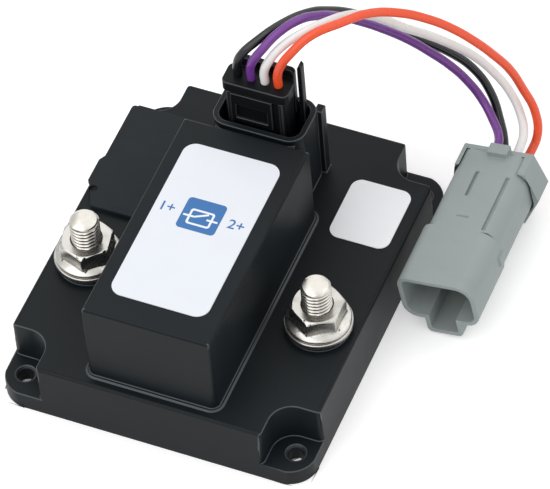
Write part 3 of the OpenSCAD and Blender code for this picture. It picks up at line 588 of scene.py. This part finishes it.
class Finish(Enum):
    """Every finish of the relay, most of them named for the record's slot that they dress."""

    MOULDED_BLACK = Moulding("moulded_black", "15191c", "1c2124", roughness=0.4, shine=0.13)
    # lighter finish for the housing's rounded edges: a painted highlight
    PAINTED_HIGHLIGHT_BLACK = Moulding("painted_highlight_black", "363c40", "40464a", roughness=0.35)
    BASE_BLACK = Moulding("base_black", "17191b", "202325", shine=0.14)
    GASKET_RUBBER = Moulding(
        "gasket_rubber", "3a3c3d", "4a4c4d", roughness=0.8, shine=0.25, grain=0.6
    )
    COVER_RUBBER = Moulding(
        "cover_rubber", "1e2326", "272c2f", roughness=0.6, shine=0.16, grain=0.5
    )
    LABEL_WHITE = Vinyl("label_white", "e6eaf1", "dfe3ea")
    WINDOW_WHITE = Vinyl("window_white", "f3f5f8", "eceff2", roughness=0.35)
    LAMP_CLEAR = Moulding("lamp_clear", "cfe2cc", "b9d0b6", roughness=0.12, shine=0.5)
    BOARD_GREEN = Moulding(
        "board_green", "1f5a34", "17472a", roughness=0.3, shine=0.5, grain=1.2, grain_depth=0.03
    )
    COMPONENT_BLACK = Moulding("component_black", "151618", "202225")
    CAPACITOR_SLEEVE = Moulding(
        "capacitor_sleeve", "32447c", "28386a", roughness=0.3, shine=0.5
    )
    SWITCH_RED = Moulding("switch_red", "a63326", "8f2b20", roughness=0.4, shine=0.5)
    SWITCH_WHITE = Moulding("switch_white", "e9e7e0", "d8d5cc", roughness=0.4, shine=0.5)
    STUD_STEEL = ThreadedMetal("stud_steel", "c9c6bf", "3a3733")
    WASHER_STEEL = Metal("washer_steel", "b2b0ab", "8a8883", roughness=0.22, mark=0.4)
    NUT_STEEL = Metal("nut_steel", "b9b7b2", "94928d", roughness=0.17, mark=0.35)
    BAR_COPPER = Metal("bar_copper", "c98a5a", "a8683d", roughness=0.3)
    CONTACT_SILVER = Metal("contact_silver", "dcdad4", "b8b4a9", roughness=0.35)
    SOFT_IRON = Metal("soft_iron", "8f9296", "74777b", roughness=0.4)
    SPRING_STEEL = Metal("spring_steel", "b5b6b8", "98999b")
    BOBBIN_NYLON = Moulding("bobbin_nylon", "dcd7c8", "cdc7b5", shine=0.5)
    WINDING_COPPER = Wound("winding_copper", "b4612c", "6e3514")
    HEADER_BLACK = Moulding("header_black", "17181a", "222426")
    PIN_TIN = Metal("pin_tin", "cdc9bd", "aaa596", roughness=0.3)
    PLUG_BLACK = Moulding(
        "plug_black", "0f1113", "17191b", roughness=0.36, shine=0.12, grain=0.25
    )
    # lighter finish for the plug's rounded edges: a painted highlight
    PAINTED_HIGHLIGHT_PLUG = Moulding(
        "painted_highlight_plug", "33373a", "3b3f42", roughness=0.35, shine=0.3, grain=0.25
    )
    SEAL_RED = Moulding("seal_red", "7c3f30", "6b3427", roughness=0.6)
    WIRE_BLACK = Jacket("wire_black", "101113", "17191b", roughness=0.22)
    WIRE_PURPLE = Jacket("wire_purple", "743792", "64307f")
    WIRE_WHITE = Jacket("wire_white", "eeedeb", "e2e0de")
    WIRE_ORANGE = Jacket("wire_orange", "f2552b", "ea4922")
    CONNECTOR_GREY = Moulding("connector_grey", "9aa3a2", "8f9898", shine=0.3)
    WEDGE_ORANGE = Moulding("wedge_orange", "c86a2a", "b55e24")
    CONNECTOR_RUBBER = Moulding(
        "connector_rubber", "7d8484", "707777", roughness=0.65, shine=0.3
    )
    PRINT_BLUE = Vinyl("print_blue", "2f6fae", "2a66a3", roughness=0.45)
    PRINT_WHITE = Vinyl("print_white", "eef3f8", "e4ebf2", roughness=0.45)

    def material(self) -> bpy.types.Material:
        """The finish's material, mixed the first time that it is asked for."""
        found = bpy.data.materials.get(finish_name(self.value.name))
        return found if found is not None else self.value.mix()


class Side(Enum):
    """The two terminals."""

    LEFT = -1
    RIGHT = 1

    @property
    def word(self) -> str:
        """The side's name, as the CAD nodes spell it."""
        return self.name.lower()


class SubAssembly(Protocol):
    """Pieces of the relay that are built and dressed together."""

    def build(self, nodes: Nodes) -> Pieces:
        """Builds and dresses the pieces over the CAD nodes, and returns them."""


def dress(piece: bpy.types.Object, finish: Finish) -> bpy.types.Object:
    """Gives a piece its only material.

    Args:
        piece: The object to dress.
        finish: What it is made of.

    Returns:
        The same piece.
    """
    piece.data.materials.clear()
    piece.data.materials.append(finish.material())
    return piece


def soften(
    piece: bpy.types.Object, width: float, segments: int = 2, painted_highlight: Optional[Finish] = None
) -> bpy.types.Object:
    """Rounds a CAD piece's sharp edges with modifiers, so that they catch the light.

    Args:
        piece: The object whose edges are rounded.
        width: How far the rounding reaches on each face, in millimetres.
        segments: How many faces make the rounding.
        painted_highlight: The lighter finish of the rounded edges, a painted highlight along
            them.

    Returns:
        The same piece.
    """
    joined = piece.modifiers.new("joined_corners", "WELD")
    joined.merge_threshold = JOINED_GAP * MM
    flat = piece.modifiers.new("plain_faces", "DECIMATE")
    flat.decimate_type = "DISSOLVE"
    flat.angle_limit = math.radians(PLAIN_ANGLE)
    edge = piece.modifiers.new("rounded_edges", "BEVEL")
    edge.width = width * MM
    edge.segments = segments
    edge.limit_method = "ANGLE"
    edge.angle_limit = math.radians(SHARP_ANGLE)
    edge.use_clamp_overlap = False
    # the rounded edges can take a lighter finish: a painted highlight along them
    if painted_highlight is not None:
        piece.data.materials.append(painted_highlight.material())
        edge.material = len(piece.data.materials) - 1
    shading = piece.modifiers.new("even_shading", "WEIGHTED_NORMAL")
    shading.keep_sharp = False
    return piece


def piece_of(name: str, mesh: bpy.types.Mesh, body: str) -> bpy.types.Object:
    """Puts a new mesh into the scene.

    Args:
        name: The piece's name.
        mesh: Its mesh, already in the CAD's own frame.
        body: The CAD body that it moves with.

    Returns:
        The new object.
    """
    piece = bpy.data.objects.new(name, mesh)
    bpy.context.scene.collection.objects.link(piece)
    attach(piece, body)
    return piece


def rounded_outline(width: float, depth: float, radius: float, steps: int = 6) -> List[Flat]:
    """A rectangle with round corners about the origin.

    Args:
        width: Size along X in millimetres.
        depth: Size along Y in millimetres.
        radius: Radius of its corners.
        steps: Faces that make each corner.

    Returns:
        Its points, anticlockwise.
    """
    points = []
    for turn, (sx, sy) in enumerate([(1, 1), (-1, 1), (-1, -1), (1, -1)]):
        for i in range(steps + 1):
            angle = math.pi / 2 * (turn + i / steps)
            points.append(
                (
                    sx * (width / 2 - radius) + radius * math.cos(angle),
                    sy * (depth / 2 - radius) + radius * math.sin(angle),
                )
            )
    return points


def sheet_mesh(
    name: str, outline: Sequence[Flat], bottom: float, top: float, hole: Sequence[Flat] = ()
) -> bpy.types.Mesh:
    """A flat sheet cut to an outline.

    Args:
        name: The mesh's name.
        outline: Its points in millimetres, anticlockwise.
        bottom: Height of its underside.
        top: Height of its upper side.
        hole: Points of an opening, as many as the outline has, or none.

    Returns:
        The closed mesh.
    """
    work = bmesh.new()
    rings = [outline, hole] if hole else [outline]
    rows = [
        [[work.verts.new((x * MM, y * MM, z * MM)) for x, y in ring] for z in (bottom, top)]
        for ring in rings
    ]
    count = len(outline)
    for number, (low, high) in enumerate(rows):
        for i in range(count):
            j = (i + 1) % count
            wall = [low[i], low[j], high[j], high[i]]
            work.faces.new(wall if number == 0 else wall[::-1])
    if hole:
        (low, high), (low_in, high_in) = rows
        for i in range(count):
            j = (i + 1) % count
            work.faces.new([high[i], high[j], high_in[j], high_in[i]])
            work.faces.new([low[j], low[i], low_in[i], low_in[j]])
    else:
        low, high = rows[0]
        work.faces.new(high)
        work.faces.new(low[::-1])
    mesh = bpy.data.meshes.new(name)
    work.to_mesh(mesh)
    work.free()
    return mesh


def moved(points: Sequence[Flat], by: Flat) -> List[Flat]:
    """The points, shifted sideways."""
    return [(x + by[0], y + by[1]) for x, y in points]


@dataclass
class Wire:
    """One wire of the harness, from the plug's cap to the connector's seal."""

    colour: str
    length: float
    finish: Finish
    route: Sequence[Point]
    diameter: float = 2.4
    steps: int = 10
    ring_steps: int = 5

    def curve(self, name: str) -> bpy.types.Curve:
        """The smooth line through the route's points.

        Args:
            name: The curve's name.

        Returns:
            The curve, with no thickness yet.
        """
        curve = bpy.data.curves.new(name, "CURVE")
        curve.dimensions = "3D"
        curve.resolution_u = self.steps
        curve.bevel_resolution = self.ring_steps
        curve.use_fill_caps = True
        spline = curve.splines.new("BEZIER")
        spline.bezier_points.add(len(self.route) - 1)
        for knot, place in zip(spline.bezier_points, self.route):
            knot.co = [p * MM for p in place]
            knot.handle_left_type = "AUTO"
            knot.handle_right_type = "AUTO"
        return curve

    def build(self, ends: Sequence[bpy.types.Object]) -> bpy.types.Object:
        """Args:
            ends: The pieces of the connector at its far end. Not used.

        Returns:
            The wire.
        """
        name = f"wire_{self.colour}"
        curve = self.curve(name)
        pattern = bpy.data.objects.new(name, curve)
        line = bpy.data.meshes.new_from_object(pattern)
        curve.bevel_depth = self.diameter / 2 * MM
        tube = bpy.data.meshes.new_from_object(pattern)
        tube.name = f"{name}_jacket"
        bpy.data.objects.remove(pattern)
        wire = piece_of(f"{name}_jacket", tube, "harness")
        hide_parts(name)
        return dress(wire, self.finish)


@dataclass
class Harness:
    """The plug in its socket, the four wires and the sealed connector."""

    wires: List[Wire] = field(
        default_factory=lambda: [
            Wire(
                "black",
                123.5,
                Finish.WIRE_BLACK,
                [
                    (-5.6, 29.6, 54), (-5.6, 29.6, 58), (-4.5, 30, 61.5), (-1, 32.5, 65.5),
                    (4, 39, 67.5), (8, 46, 65.5), (11, 52, 61), (15, 58, 55), (19, 62.5, 49),
                    (24, 66.5, 42.5), (29, 70, 36.5), (35, 73, 31), (41, 74.5, 25),
                    (46, 73.5, 18.5), (50, 69.5, 13), (53, 64.5, 10.5), (54.2, 60, 9.9),
                    (54.2, 55.4, 9.9),
                ],
            ),
            Wire(
                "purple",
                114.9,
                Finish.WIRE_PURPLE,
                [
                    (-1.9, 29.6, 54), (-1.9, 29.6, 58), (-1, 29.6, 61), (1.5, 30.5, 65.5),
                    (4.5, 34, 69), (8, 39.5, 69.5), (11, 45, 66.5), (14, 50.5, 61.5),
                    (18, 56, 55), (22, 60, 49.5), (27, 64, 43), (32, 67, 36.5),
                    (37, 69, 30.5), (41, 70, 25), (45, 69.5, 20), (49, 66.5, 17),
                    (52.5, 62, 16), (53.3, 59.5, 15.9), (53.3, 55.4, 15.9),
                ],
            ),
            Wire(
                "white",
                117.9,
                Finish.WIRE_WHITE,
                [
                    (1.9, 29.6, 54), (1.9, 29.6, 58), (3, 30, 61.5), (6, 32.5, 66),
                    (10.5, 37, 68.5), (14.5, 42, 68.5), (18, 48, 66), (21, 53, 62),
                    (24, 57, 57), (28, 61, 51), (32, 65.5, 45), (37, 69, 39.5),
                    (42, 72, 33.5), (47, 73, 28), (52, 72, 23), (56, 69, 19),
                    (58.6, 64.5, 17.2), (59.3, 59.5, 16.7), (59.3, 55.4, 16.7),
                ],
            ),
            Wire(
                "orange",
                123.7,
                Finish.WIRE_ORANGE,
                [
                    (5.6, 29.6, 54), (5.6, 29.6, 58), (6.5, 30, 61.5), (9, 31, 66),
                    (13, 35, 70), (19, 41.5, 70.5), (24, 48, 69), (30, 53.5, 65.5),
                    (36, 58, 60.5), (41, 61.5, 55), (46, 64.5, 48.5), (50, 67, 42),
                    (53.5, 69, 35.5), (56.5, 70, 28), (60, 69.5, 20.5), (61.5, 67, 15),
                    (61, 63.5, 11.8), (60.2, 59.5, 10.8), (60.2, 55.4, 10.8),
                ],
            ),
        ]
    )
    edge: float = 0.25

    def build(self, nodes: Nodes) -> Pieces:
        """Runs the wires, then dresses the plug and the connector.

        Args:
            nodes: The CAD nodes by name.

        Returns:
            The pieces.
        """
        ends = [nodes[f"connector_{part}"] for part in ("shell", "seal", "wedge", "pins")]
        pieces = [wire.build(ends) for wire in self.wires]
        for part in ("housing", "cap", "latch", "clip", "lock"):
            plain = dress(nodes[f"plug_{part}"], Finish.PLUG_BLACK)
            # the plug's rounded edges take a lighter finish as a painted highlight
            pieces.append(soften(plain, self.edge, painted_highlight=Finish.PAINTED_HIGHLIGHT_PLUG))
        return pieces + [
            dress(nodes["plug_terminals"], Finish.PIN_TIN),
            dress(nodes["plug_seal"], Finish.SEAL_RED),
            soften(dress(nodes["connector_shell"], Finish.CONNECTOR_GREY), self.edge),
            dress(nodes["connector_wedge"], Finish.WEDGE_ORANGE),
            dress(nodes["connector_pins"], Finish.PIN_TIN),
            dress(nodes["connector_seal"], Finish.CONNECTOR_RUBBER),
        ]


@dataclass
class Enclosure:
    """The moulded housing, its bottom cover and the gasket between them."""

    edge: float = 0.25

    def build(self, nodes: Nodes) -> Pieces:
        """Dresses the three pieces and rounds the housing's edges, with a painted highlight on
        the rounding.

        Args:
            nodes: The CAD nodes by name.

        Returns:
            The pieces.
        """
        housing = dress(nodes["housing"], Finish.MOULDED_BLACK)
        return [
            # the housing's rounded edges take a lighter finish as a painted highlight
            soften(housing, self.edge, painted_highlight=Finish.PAINTED_HIGHLIGHT_BLACK),
            dress(nodes["base_plate"], Finish.BASE_BLACK),
            dress(nodes["base_gasket"], Finish.GASKET_RUBBER),
        ]


@dataclass
class Terminal:
    """One terminal: a threaded stud, its washer, its nut and the bus bar inside."""

    side: Side
    pitch: float = 1.25
    thread_depth: float = 0.7
    thread_start: float = 20.8
    chamfer: float = 0.7
    crest_r: float = 4.0
    head_h: float = 3.0
    bar_h: float = 2.0
    shoulder_r: float = 6.5
    shoulder_h: float = 8.8
    flank_share: float = 0.44
    sectors: int = 48
    rows_per_turn: int = 10
    crease: float = 50.0
    edge: float = 0.3

    def thread(self, angle: float, height: float, top: float) -> float:
        """Radius of the threaded stud.

        Args:
            angle: Round the stud, as a share of a turn.
            height: Above the row's foot, in millimetres.
            top: Height of the stud's end.

        Returns:
            The radius there, in millimetres.
        """
        phase = (height / self.pitch - angle) % 1.0
        flank = min(abs(phase - 0.5) / self.flank_share, 1.0)
        crest = self.crest_r
        valley = crest - self.thread_depth
        radius = valley + self.thread_depth * max(0.0, 1.0 - flank)
        run_in = min(max((height - self.thread_start) / self.pitch, 0.0), 1.0)
        radius = crest + (radius - crest) * run_in
        return min(radius, crest - self.chamfer + (top - height))

    def stud_mesh(self, box: Tuple[Vector, Vector]) -> bpy.types.Mesh:
        """The stud turned from its head to its end, with a real helical thread.

        Args:
            box: The CAD stud's lowest and highest corners, in metres.

        Returns:
            The closed mesh.
        """
        low, high = (corner / MM for corner in box)
        middle = (low + high) / 2
        head_r = (high.x - low.x) / 2
        bar_z = low.z + self.head_h
        shoulder_z = bar_z + self.bar_h
        thread_z = shoulder_z + self.shoulder_h
        corners = [
            (head_r, low.z),
            (head_r, bar_z),
            (self.crest_r, bar_z),
            (self.crest_r, shoulder_z),
            (self.shoulder_r, shoulder_z),
            (self.shoulder_r, thread_z),
            (self.crest_r, thread_z),
        ]
        rings = [[corner] * self.sectors for corner in corners]
        shares = [k / self.sectors for k in range(self.sectors)]
        threaded = high.z - self.thread_start
        steps = math.ceil(threaded / self.pitch * self.rows_per_turn)
        for i in range(steps + 1):
            height = self.thread_start + threaded * i / steps
            rings.append([(self.thread(share, height, high.z), height) for share in shares])
        work = bmesh.new()
        placed = []
        for ring in rings:
            row = []
            for share, (radius, height) in zip(shares, ring):
                x = middle.x + radius * math.cos(math.tau * share)
                y = middle.y + radius * math.sin(math.tau * share)
                row.append(work.verts.new((x * MM, y * MM, height * MM)))
            placed.append(row)
        for lower, upper in zip(placed, placed[1:]):
            for k in range(self.sectors):
                j = (k + 1) % self.sectors
                work.faces.new([lower[k], lower[j], upper[j], upper[k]]).smooth = True
        work.faces.new(placed[0][::-1])
        work.faces.new(placed[-1])
        mesh = bpy.data.meshes.new(f"threaded_stud_{self.side.word}")
        work.to_mesh(mesh)
        work.free()
        mesh.set_sharp_from_angle(angle=math.radians(self.crease))
        return mesh

    def build(self, nodes: Nodes) -> Pieces:
        """Makes the stud and dresses what goes over and under it.

        Args:
            nodes: The CAD nodes by name.

        Returns:
            The pieces.
        """
        word = self.side.word
        mesh = self.stud_mesh(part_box(f"stud_{word}"))
        stud = piece_of(f"threaded_stud_{word}", mesh, "relay")
        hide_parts(f"stud_{word}")
        return [
            dress(stud, Finish.STUD_STEEL),
            soften(dress(nodes[f"washer_{word}"], Finish.WASHER_STEEL), self.edge),
            soften(dress(nodes[f"nut_{word}"], Finish.NUT_STEEL), self.edge),
            dress(nodes[f"busbar_{word}"], Finish.BAR_COPPER),
            dress(nodes[f"contact_{word}"], Finish.CONTACT_SILVER),
        ]


@dataclass
class TowerLabel:
    """The label on the tower, with a plain switch sign and the terminals' numbers."""

    sign_centre: Flat = (-0.3, -9.2)
    sign_width: float = 10.6
    sign_depth: float = 10.2
    sign_corner: float = 1.1
    case_width: float = 6.6
    case_depth: float = 5.1
    case_corner: float = 0.8
    case_drop: float = 0.8
    lead_reach: float = 4.7
    contact_reach: float = 1.7
    ink: float = 0.03
    line: float = 0.6
    number_size: float = 4.2
    number_weight: float = 0.04
    number_reach: float = 9.5
    edge: float = 0.08

    def print_piece(
        self,
        name: str,
        outline: Sequence[Flat],
        finish: Finish,
        layer: int,
        hole: Sequence[Flat] = (),
    ) -> bpy.types.Object:
        """Prints one flat shape on the label.

        Args:
            name: The piece's name.
            outline: The shape's points in millimetres.
            finish: The ink.
            layer: Which layer of ink it is, from 0.
            hole: Points of an opening in it, or none.

        Returns:
            The printed piece.
        """
        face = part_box("tower_label")[1].z / MM
        bottom = face + layer * self.ink
        mesh = sheet_mesh(name, outline, bottom, bottom + self.ink, hole)
        return dress(piece_of(name, mesh, "relay"), finish)

    def stroke(self, start: Flat, end: Flat) -> List[Flat]:
        """A straight line of ink.

        Args:
            start: Where it starts, in millimetres.
            end: Where it ends.

        Returns:
            Its four corners.
        """
        first, last = Vector(start), Vector(end)
        run = last - first
        side = Vector((-run.y, run.x)).normalized() * self.line / 2
        return [(c.x, c.y) for c in (first - side, last - side, last + side, first + side)]

    def number(self, name: str, words: str, place: Flat) -> bpy.types.Object:
        """Prints a terminal's number.

        Args:
            name: The piece's name.
            words: The number and its sign.
            place: Where its middle goes, in millimetres.

        Returns:
            The printed piece.
        """
        shape = bpy.data.curves.new(name, "FONT")
        shape.body = words
        shape.size = self.number_size * MM
        shape.align_x = "CENTER"
        shape.align_y = "CENTER"
        shape.extrude = self.ink / 2 * MM
        shape.offset = self.number_weight * MM
        pattern = bpy.data.objects.new(name, shape)
        bpy.context.scene.collection.objects.link(pattern)
        bpy.context.view_layer.update()
        graph = bpy.context.evaluated_depsgraph_get()
        mesh = bpy.data.meshes.new_from_object(pattern.evaluated_get(graph))
        bpy.data.objects.remove(pattern)
        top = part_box("tower_label")[1].z / MM
        for vertex in mesh.vertices:
            vertex.co += Vector((place[0] * MM, place[1] * MM, (top + self.ink / 2) * MM))
        return dress(piece_of(name, mesh, "relay"), Finish.PRINT_BLUE)

    def build(self, nodes: Nodes) -> Pieces:
        """Dresses the label and prints the sign and the numbers.

        Args:
            nodes: The CAD nodes by name.

        Returns:
            The pieces.
        """
        cx, cy = self.sign_centre
        low = (cx, cy - self.case_drop)
        square = rounded_outline(self.sign_width, self.sign_depth, self.sign_corner)
        case = rounded_outline(self.case_width, self.case_depth, self.case_corner)
        bare_width = self.case_width - 2 * self.line
        bare_depth = self.case_depth - 2 * self.line
        bare = rounded_outline(bare_width, bare_depth, self.case_corner / 2)
        pieces = [
            soften(dress(nodes["tower_label"], Finish.LABEL_WHITE), self.edge),
            self.print_piece(
                "sign_field", moved(square, self.sign_centre), Finish.PRINT_BLUE, 0
            ),
            self.print_piece(
                "sign_case", moved(case, low), Finish.PRINT_WHITE, 1, moved(bare, low)
            ),
        ]
        near, far = self.contact_reach, self.lead_reach
        strokes = {
            "sign_lead_left": ((cx - far, low[1]), (cx - near, low[1])),
            "sign_lead_right": ((cx + near, low[1]), (cx + far, low[1])),
            "sign_blade": ((cx - near, low[1]), (cx + near, low[1] + near)),
        }
        for name, (begin, end) in strokes.items():
            corners = self.stroke(begin, end)
            pieces.append(self.print_piece(name, corners, Finish.PRINT_WHITE, 2))
        return pieces + [
            self.number("number_left", "1+", (cx - self.number_reach, cy)),
            self.number("number_right", "2+", (cx + self.number_reach, cy)),
        ]


@dataclass
class PlateauDetails:
    """The status window and the setting switches under their rubber cover."""

    edge: float = 0.2
    window_edge: float = 0.08
    sliders: int = 4

    def build(self, nodes: Nodes) -> Pieces:
        """Dresses the pieces that lie on and under the plateau.

        Args:
            nodes: The CAD nodes by name.

        Returns:
            The pieces.
        """
        pieces = [
            soften(dress(nodes["status_window"], Finish.WINDOW_WHITE), self.window_edge),
            dress(nodes["status_lamp"], Finish.LAMP_CLEAR),
            soften(dress(nodes["dip_cover"], Finish.COVER_RUBBER), self.edge),
            dress(nodes["dip_block"], Finish.SWITCH_RED),
        ]
        for number in range(1, self.sliders + 1):
            pieces.append(dress(nodes[f"dip_slider_{number}"], Finish.SWITCH_WHITE))
        return pieces


@dataclass
class Insides:
    """The circuit board and the magnet with its contacts."""

    finishes: Dict[str, Finish] = field(
        default_factory=lambda: {
            "circuit_board": Finish.BOARD_GREEN,
            "board_components": Finish.COMPONENT_BLACK,
            "board_capacitor": Finish.CAPACITOR_SLEEVE,
            "contact_bridge": Finish.BAR_COPPER,
            "bridge_contacts": Finish.CONTACT_SILVER,
            "plunger": Finish.SOFT_IRON,
            "pole_piece": Finish.SOFT_IRON,
            "yoke": Finish.SOFT_IRON,
            "pole_plate": Finish.SOFT_IRON,
            "coil_bobbin": Finish.BOBBIN_NYLON,
            "coil_winding": Finish.WINDING_COPPER,
            "socket_header": Finish.HEADER_BLACK,
            "socket_pins": Finish.PIN_TIN,
        }
    )

    def build(self, nodes: Nodes) -> Pieces:
        """Dresses each piece in its own finish and returns the pieces."""
        return [dress(nodes[name], finish) for name, finish in self.finishes.items()]


@dataclass
class ReturnSpring:
    """The coil spring that lifts the armature, squeezed as the armature comes down."""

    travel: float = 1.6

    def build(self, nodes: Nodes) -> Pieces:
        """Copies the CAD spring onto the armature and hides the CAD one.

        Args:
            nodes: The CAD nodes by name.

        Returns:
            The spring alone.
        """
        mesh = nodes["return_spring"].data.copy()
        spring = piece_of("coil_spring", mesh, "armature")
        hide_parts("return_spring")
        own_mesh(spring)
        return [dress(spring, Finish.SPRING_STEEL)]


@dataclass
class Lamp:
    """A soft studio lamp that looks at the relay."""

    name: str
    azimuth: float
    elevation: float
    power: float
    size: float = 1.2
    distance: float = 0.9

    def build(self, target: Vector) -> None:
        """Hangs the lamp.

        Args:
            target: What it points at, in metres.
        """
        light = bpy.data.lights.new(self.name, "AREA")
        light.energy = self.power
        light.size = self.size
        away = direction(self.azimuth, self.elevation)
        lamp = bpy.data.objects.new(self.name, light)
        lamp.location = target + away * self.distance
        lamp.rotation_mode = "QUATERNION"
        lamp.rotation_quaternion = (-away).to_track_quat("-Z", "Y")
        bpy.context.scene.collection.objects.link(lamp)


def direction(azimuth: float, elevation: float) -> Vector:
    """The way from the object towards a viewer.

    Args:
        azimuth: Round the object in degrees, 0 being the front.
        elevation: Above the horizon in degrees.

    Returns:
        A vector of length 1.
    """
    a, e = math.radians(azimuth), math.radians(elevation)
    return Vector((math.sin(a) * math.cos(e), -math.cos(a) * math.cos(e), math.sin(e)))


@dataclass
class Studio:
    """The floor, the white surround, the lamps and the camera of the photograph."""

    azimuth: float = 26.377
    elevation: float = 50.958
    roll: float = 5.374
    distance: float = 1288.6
    target: Point = (12.17, 5.81, 19.83)
    lens: float = 327.27
    sensor: float = 36.0
    floor_reach: float = 3000.0
    floor_patch: float = 30.0
    floor_patch_share: float = 0.02
    floor_glow: float = 0.36
    surround: float = 0.36
    near_clip: float = 50.0
    far_clip: float = 20000.0
    lamps: List[Lamp] = field(
        default_factory=lambda: [
            Lamp("lamp_front_left", azimuth=-30, elevation=48, power=6.2),
            Lamp("lamp_right", azimuth=95, elevation=32, power=2.8),
            Lamp("lamp_back", azimuth=190, elevation=60, power=3.2),
        ]
    )

    def floor(self) -> None:
        """Lays a pale floor that keeps the object's shadow and meets the white surround."""
        reach = self.floor_reach * MM
        mesh = bpy.data.meshes.new("floor")
        ways = ((-1, -1), (1, -1), (1, 1), (-1, 1))
        mesh.from_pydata([(x * reach, y * reach, 0) for x, y in ways], [], [(0, 1, 2, 3)])
        floor = bpy.data.objects.new("floor", mesh)
        bpy.context.scene.collection.objects.link(floor)
        recipe = Recipe.named("floor_white")
        share = recipe.cloud(self.floor_patch) * self.floor_patch_share
        tone = recipe.colours(share, paint("f3f3f3"), paint("efefef"))
        shade = recipe.node("ShaderNodeBsdfDiffuse", None, {"Color": tone})
        dark = recipe.node("ShaderNodeEmission", None, {"Strength": 0.0})
        glow = recipe.node("ShaderNodeEmission", None, {"Strength": self.floor_glow})
        lit = recipe.node(
            "ShaderNodeMixShader",
            None,
            {0: recipe.seen(), 1: dark.outputs[0], 2: glow.outputs[0]},
        )
        both = recipe.node(
            "ShaderNodeAddShader", None, {0: shade.outputs[0], 1: lit.outputs[0]}
        )
        recipe.node("ShaderNodeOutputMaterial", None, {"Surface": both.outputs[0]})
        mesh.materials.append(recipe.owner)

    def world(self) -> None:
        """Surrounds the scene with soft light, and with white where it is seen."""
        world = bpy.data.worlds.new("white_surround")
        bpy.context.scene.world = world
        recipe = Recipe(world)
        soft = recipe.node(
            "ShaderNodeBackground", None, {"Color": paint("ffffff"), "Strength": self.surround}
        )
        white = recipe.node(
            "ShaderNodeBackground", None, {"Color": paint("ffffff"), "Strength": 1.0}
        )
        choice = recipe.node(
            "ShaderNodeMixShader",
            None,
            {0: recipe.seen(), 1: soft.outputs[0], 2: white.outputs[0]},
        )
        recipe.node("ShaderNodeOutputWorld", None, {"Surface": choice.outputs[0]})

    def camera(self) -> None:
        """Sets the camera at the photograph's angle."""
        data = bpy.data.cameras.new("photo_camera")
        data.lens = self.lens
        data.sensor_width = self.sensor
        data.clip_start = self.near_clip * MM
        data.clip_end = self.far_clip * MM
        camera = bpy.data.objects.new("photo_camera", data)
        back = direction(self.azimuth, self.elevation)
        camera.location = (Vector(self.target) + back * self.distance) * MM
        level = (-back).to_track_quat("-Z", "Y")
        camera.rotation_mode = "QUATERNION"
        camera.rotation_quaternion = level @ Quaternion((0, 0, 1), math.radians(-self.roll))
        bpy.context.scene.collection.objects.link(camera)
        bpy.context.scene.camera = camera

    def build(self) -> None:
        """Builds the whole studio."""
        bpy.context.scene.view_settings.view_transform = "Standard"
        self.floor()
        self.world()
        for lamp in self.lamps:
            lamp.build(Vector(self.target) * MM)
        self.camera()
        log.info("studio: floor, surround, %d lamps and camera", len(self.lamps))


def main() -> None:
    """Builds the dressed relay over its frame and reports each piece."""
    logging.basicConfig(level=logging.INFO, format="%(name)s: %(message)s")
    for left_over in list(bpy.data.objects):
        bpy.data.objects.remove(left_over)
    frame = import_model()
    nodes = frame["nodes"]
    Studio().build()
    assemblies: List[SubAssembly] = [
        Harness(),
        Enclosure(),
        *(Terminal(side) for side in Side),
        TowerLabel(),
        PlateauDetails(),
        Insides(),
        ReturnSpring(),
    ]
    for assembly in assemblies:
        for piece in assembly.build(nodes):
            finish = piece.data.materials[0].name
            log.info("%s, %s: %s", type(assembly).__name__, piece.name, finish)
    bpy.context.view_layer.update()


if __name__ == "__main__":
    main()
